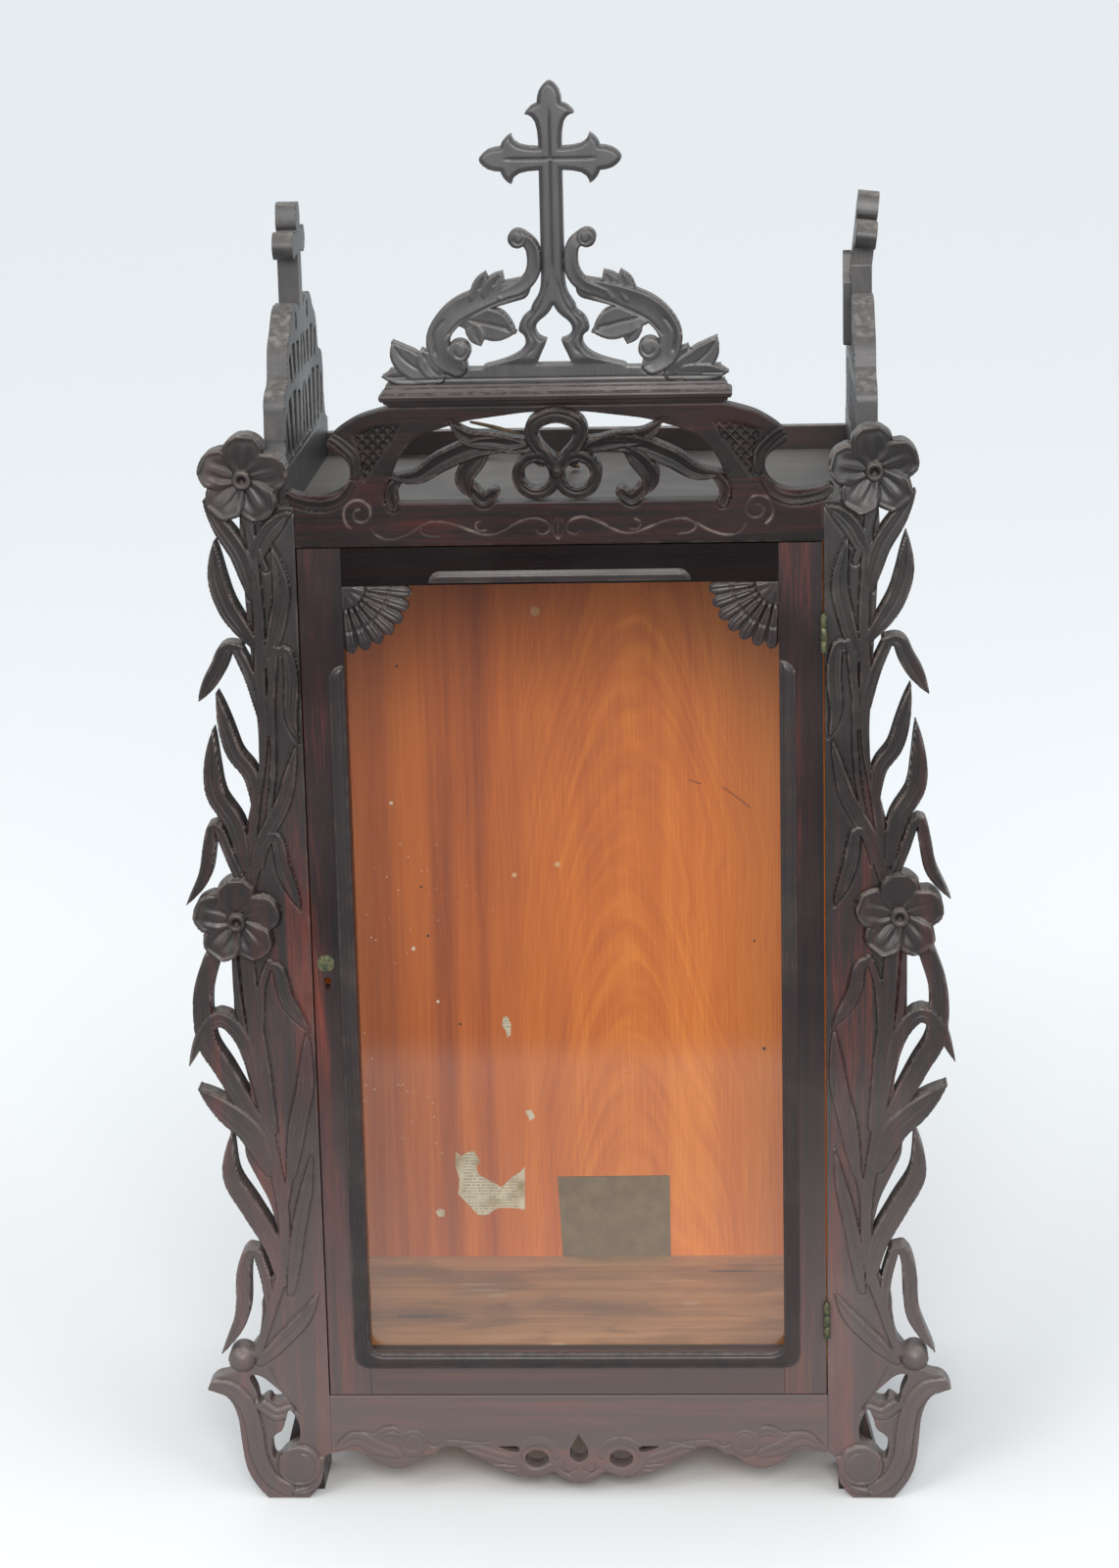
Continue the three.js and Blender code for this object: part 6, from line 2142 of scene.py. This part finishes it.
@dataclass
class Studio:
    """The pale floor, the soft lights and the camera."""

    place: Place = (0.16885, -3.49158, 1.56672)
    turn: Place = (0.0482, 0.2522, -0.0102)
    lens: float = 84.53
    paper_edge: float = -1.45

    def camera(self) -> None:
        """Sets the camera where the photograph was taken from."""
        yaw, pitch, roll = self.turn
        tilt = Matrix.Rotation(yaw, 3, "Y") @ Matrix.Rotation(pitch, 3, "X") @ Matrix.Rotation(roll, 3, "Z")
        base = Matrix(((1, 0, 0), (0, 0, -1), (0, 1, 0)))
        look = Matrix(((1, 0, 0), (0, -1, 0), (0, 0, -1))) @ tilt @ base
        data = bpy.data.cameras.new("front_camera")
        data.lens = self.lens
        data.sensor_width = 36
        data.sensor_fit = "AUTO"
        data.clip_end = 200
        camera = bpy.data.objects.new("front_camera", data)
        camera.matrix_world = Matrix.Translation(self.place) @ look.transposed().to_4x4()
        bpy.context.scene.collection.objects.link(camera)
        bpy.context.scene.camera = camera

    def floor(self) -> None:
        """Lays the pale floor."""
        f = Finish("pale_floor", Specular_IOR_Level=0.2, Roughness=0.8)
        x, y, _ = f.parted(f.coordinates)
        edge = self.paper_edge
        near = f.blend(f.spread(y, edge + 0.9, edge + 0.1), shade("dbddde"), shade("a8abad"))
        near = f.blend(f.spread(y, 0.0, 1.8), near, shade("f0f2f3"))
        past = f.spread(y, edge, edge - 0.18)
        past = f.times(past, f.spread(y, edge - 5.5, edge - 3.5))
        past = f.times(past, f.spread(f.math("ABSOLUTE", x), 1.4, 1.0))
        f.surface(Base_Color=f.blend(past, near, shade("64686b")))
        mesh = bpy.data.meshes.new("pale_floor")
        steps = np.linspace(-60, 60, 41)
        corners = [(x, y, -0.0006) for y in steps for x in steps]
        n = len(steps)
        starts = [j * n + i for j in range(n - 1) for i in range(n - 1)]
        faces = [(k, k + 1, k + n + 1, k + n) for k in starts]
        mesh.from_pydata(corners, [], faces)
        mesh.materials.append(f.material)
        floor = bpy.data.objects.new("pale_floor", mesh)
        bpy.context.scene.collection.objects.link(floor)

    def light(self, name: str, place: Place, aim: Place, size: float,
              power: float, tint: Colour) -> None:
        """Hangs a soft square light.

        Args:
            name: Its name.
            place: Where it hangs.
            aim: What it points at.
            size: The length of its side in metres.
            power: Its power in watts.
            tint: Its colour.
        """
        data = bpy.data.lights.new(name, "AREA")
        data.shape = "SQUARE"
        data.size = size
        data.energy = power
        data.color = tint[:3]
        lamp = bpy.data.objects.new(name, data)
        lamp.location = place
        lamp.rotation_euler = (Vector(aim) - Vector(place)).to_track_quat("-Z", "Y").to_euler()
        bpy.context.scene.collection.objects.link(lamp)

    def build(self) -> None:
        """Sets up the light, the floor and the camera."""
        scene = bpy.context.scene
        scene.view_settings.view_transform = "Standard"
        world = bpy.data.worlds.new("soft_room")
        world.use_nodes = True
        room = next(n for n in world.node_tree.nodes if n.type == "BACKGROUND")
        room.inputs["Color"].default_value = (0.86, 0.895, 0.92, 1.0)
        room.inputs["Strength"].default_value = 1.05
        scene.world = world
        self.floor()
        self.light("key_softbox", (-1.7, -3.0, 2.7), (0, 0, 0.6), 1.6, 55, (1.0, 0.98, 0.96, 1))
        self.light("fill_softbox", (2.2, -3.0, 2.4), (0, 0, 0.6), 1.6, 30, (0.96, 0.98, 1.0, 1))
        self.light("front_softbox", (0.3, -3.8, 2.15), (0, 0, 0.6), 1.3, 112, (1.0, 0.98, 0.95, 1))
        self.camera()


def build_shrine() -> None:
    """Builds and dresses the whole shrine in its order of assembly."""
    carved = DarkWood(
        "carved_rosewood", Grain.UPRIGHT, "0f0c0d", "1f1414", redness=0.05, low_redness=0.9, painted_haze=0.4,
        bare=0.1, dust=0.45,
    ).material()
    carved_across = DarkWood(
        "carved_rosewood_across", Grain.ACROSS, "0d0a0b", "1a1112", redness=0.16, low_redness=0.6,
        painted_haze=0.58, dust=0.14, shine=0.15,
    ).material()
    crest_wood = DarkWood(
        "crest_rosewood", Grain.UPRIGHT, "1d1c1e", "2b292b", "352b2a", redness=0.0, bare=0.0, dust=0.55,
        rough=0.45, shine=0.5,
    ).material()
    fan_wood = DarkWood("fan_rosewood", Grain.UPRIGHT, redness=0.05, bare=0.0, dust=0.3).material()
    side_wood = DarkWood("side_rosewood", Grain.UPRIGHT, redness=0.3, dust=0.5, pore_depth=0.00003).material()
    stile_wood = DarkWood(
        "door_rosewood", Grain.UPRIGHT, red="5e271a", redness=0.8, low_redness=0.3, painted_haze=0.35, dust=0.25,
        rough=0.36, shine=0.3,
    ).material()
    rail_wood = DarkWood(
        "door_rosewood_across", Grain.ACROSS, "0a0808", "150e0f", "62281b", redness=0.05, low_redness=0.8,
        painted_haze=0.5, dust=0.06, rough=0.36, shine=0.06,
    ).material()
    brass = OldMetal("dull_brass", "5d5a40", "3b4233", 0.5, 0.7).material()

    Studio().build()
    CaseBoards().build(
        side_wood, DustyBoard("dusty_top_board", dusty="8b8883", cover=0.55).material(),
        PanelWood().material(), InnerFloor().material(),
        DarkWood("back_rail_wood", Grain.ACROSS, dust=0.8).material(),
    )
    for side in (-1, 1):
        FrontPost(side).build(carved)
    Apron().build(carved_across)
    ArchedFrieze().build(carved_across)
    Cornice().build(DarkWood("cornice_rosewood", Grain.ACROSS, redness=0.05, dust=0.35, shine=0.3).material())
    CrossCrest().build(crest_wood)
    SideCrest(-1, False).build(crest_wood)
    SideCrest(1, True).build(crest_wood)
    Door().build(stile_wood, rail_wood, fan_wood, brass)
    Hinges().build(brass)
    Remnants().build(PrintedPaper().material(), CardBoard().material())
    LooseStrip().build(DustyBoard("split_wood", "8a6a42", "a08a66", 0.5, Grain.DEEP).material())


def main() -> None:
    """Builds the shrine."""
    logging.basicConfig(level=logging.INFO, format="%(message)s")
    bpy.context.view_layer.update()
    build_shrine()
    bpy.context.view_layer.update()


if __name__ == "__main__":
    main()
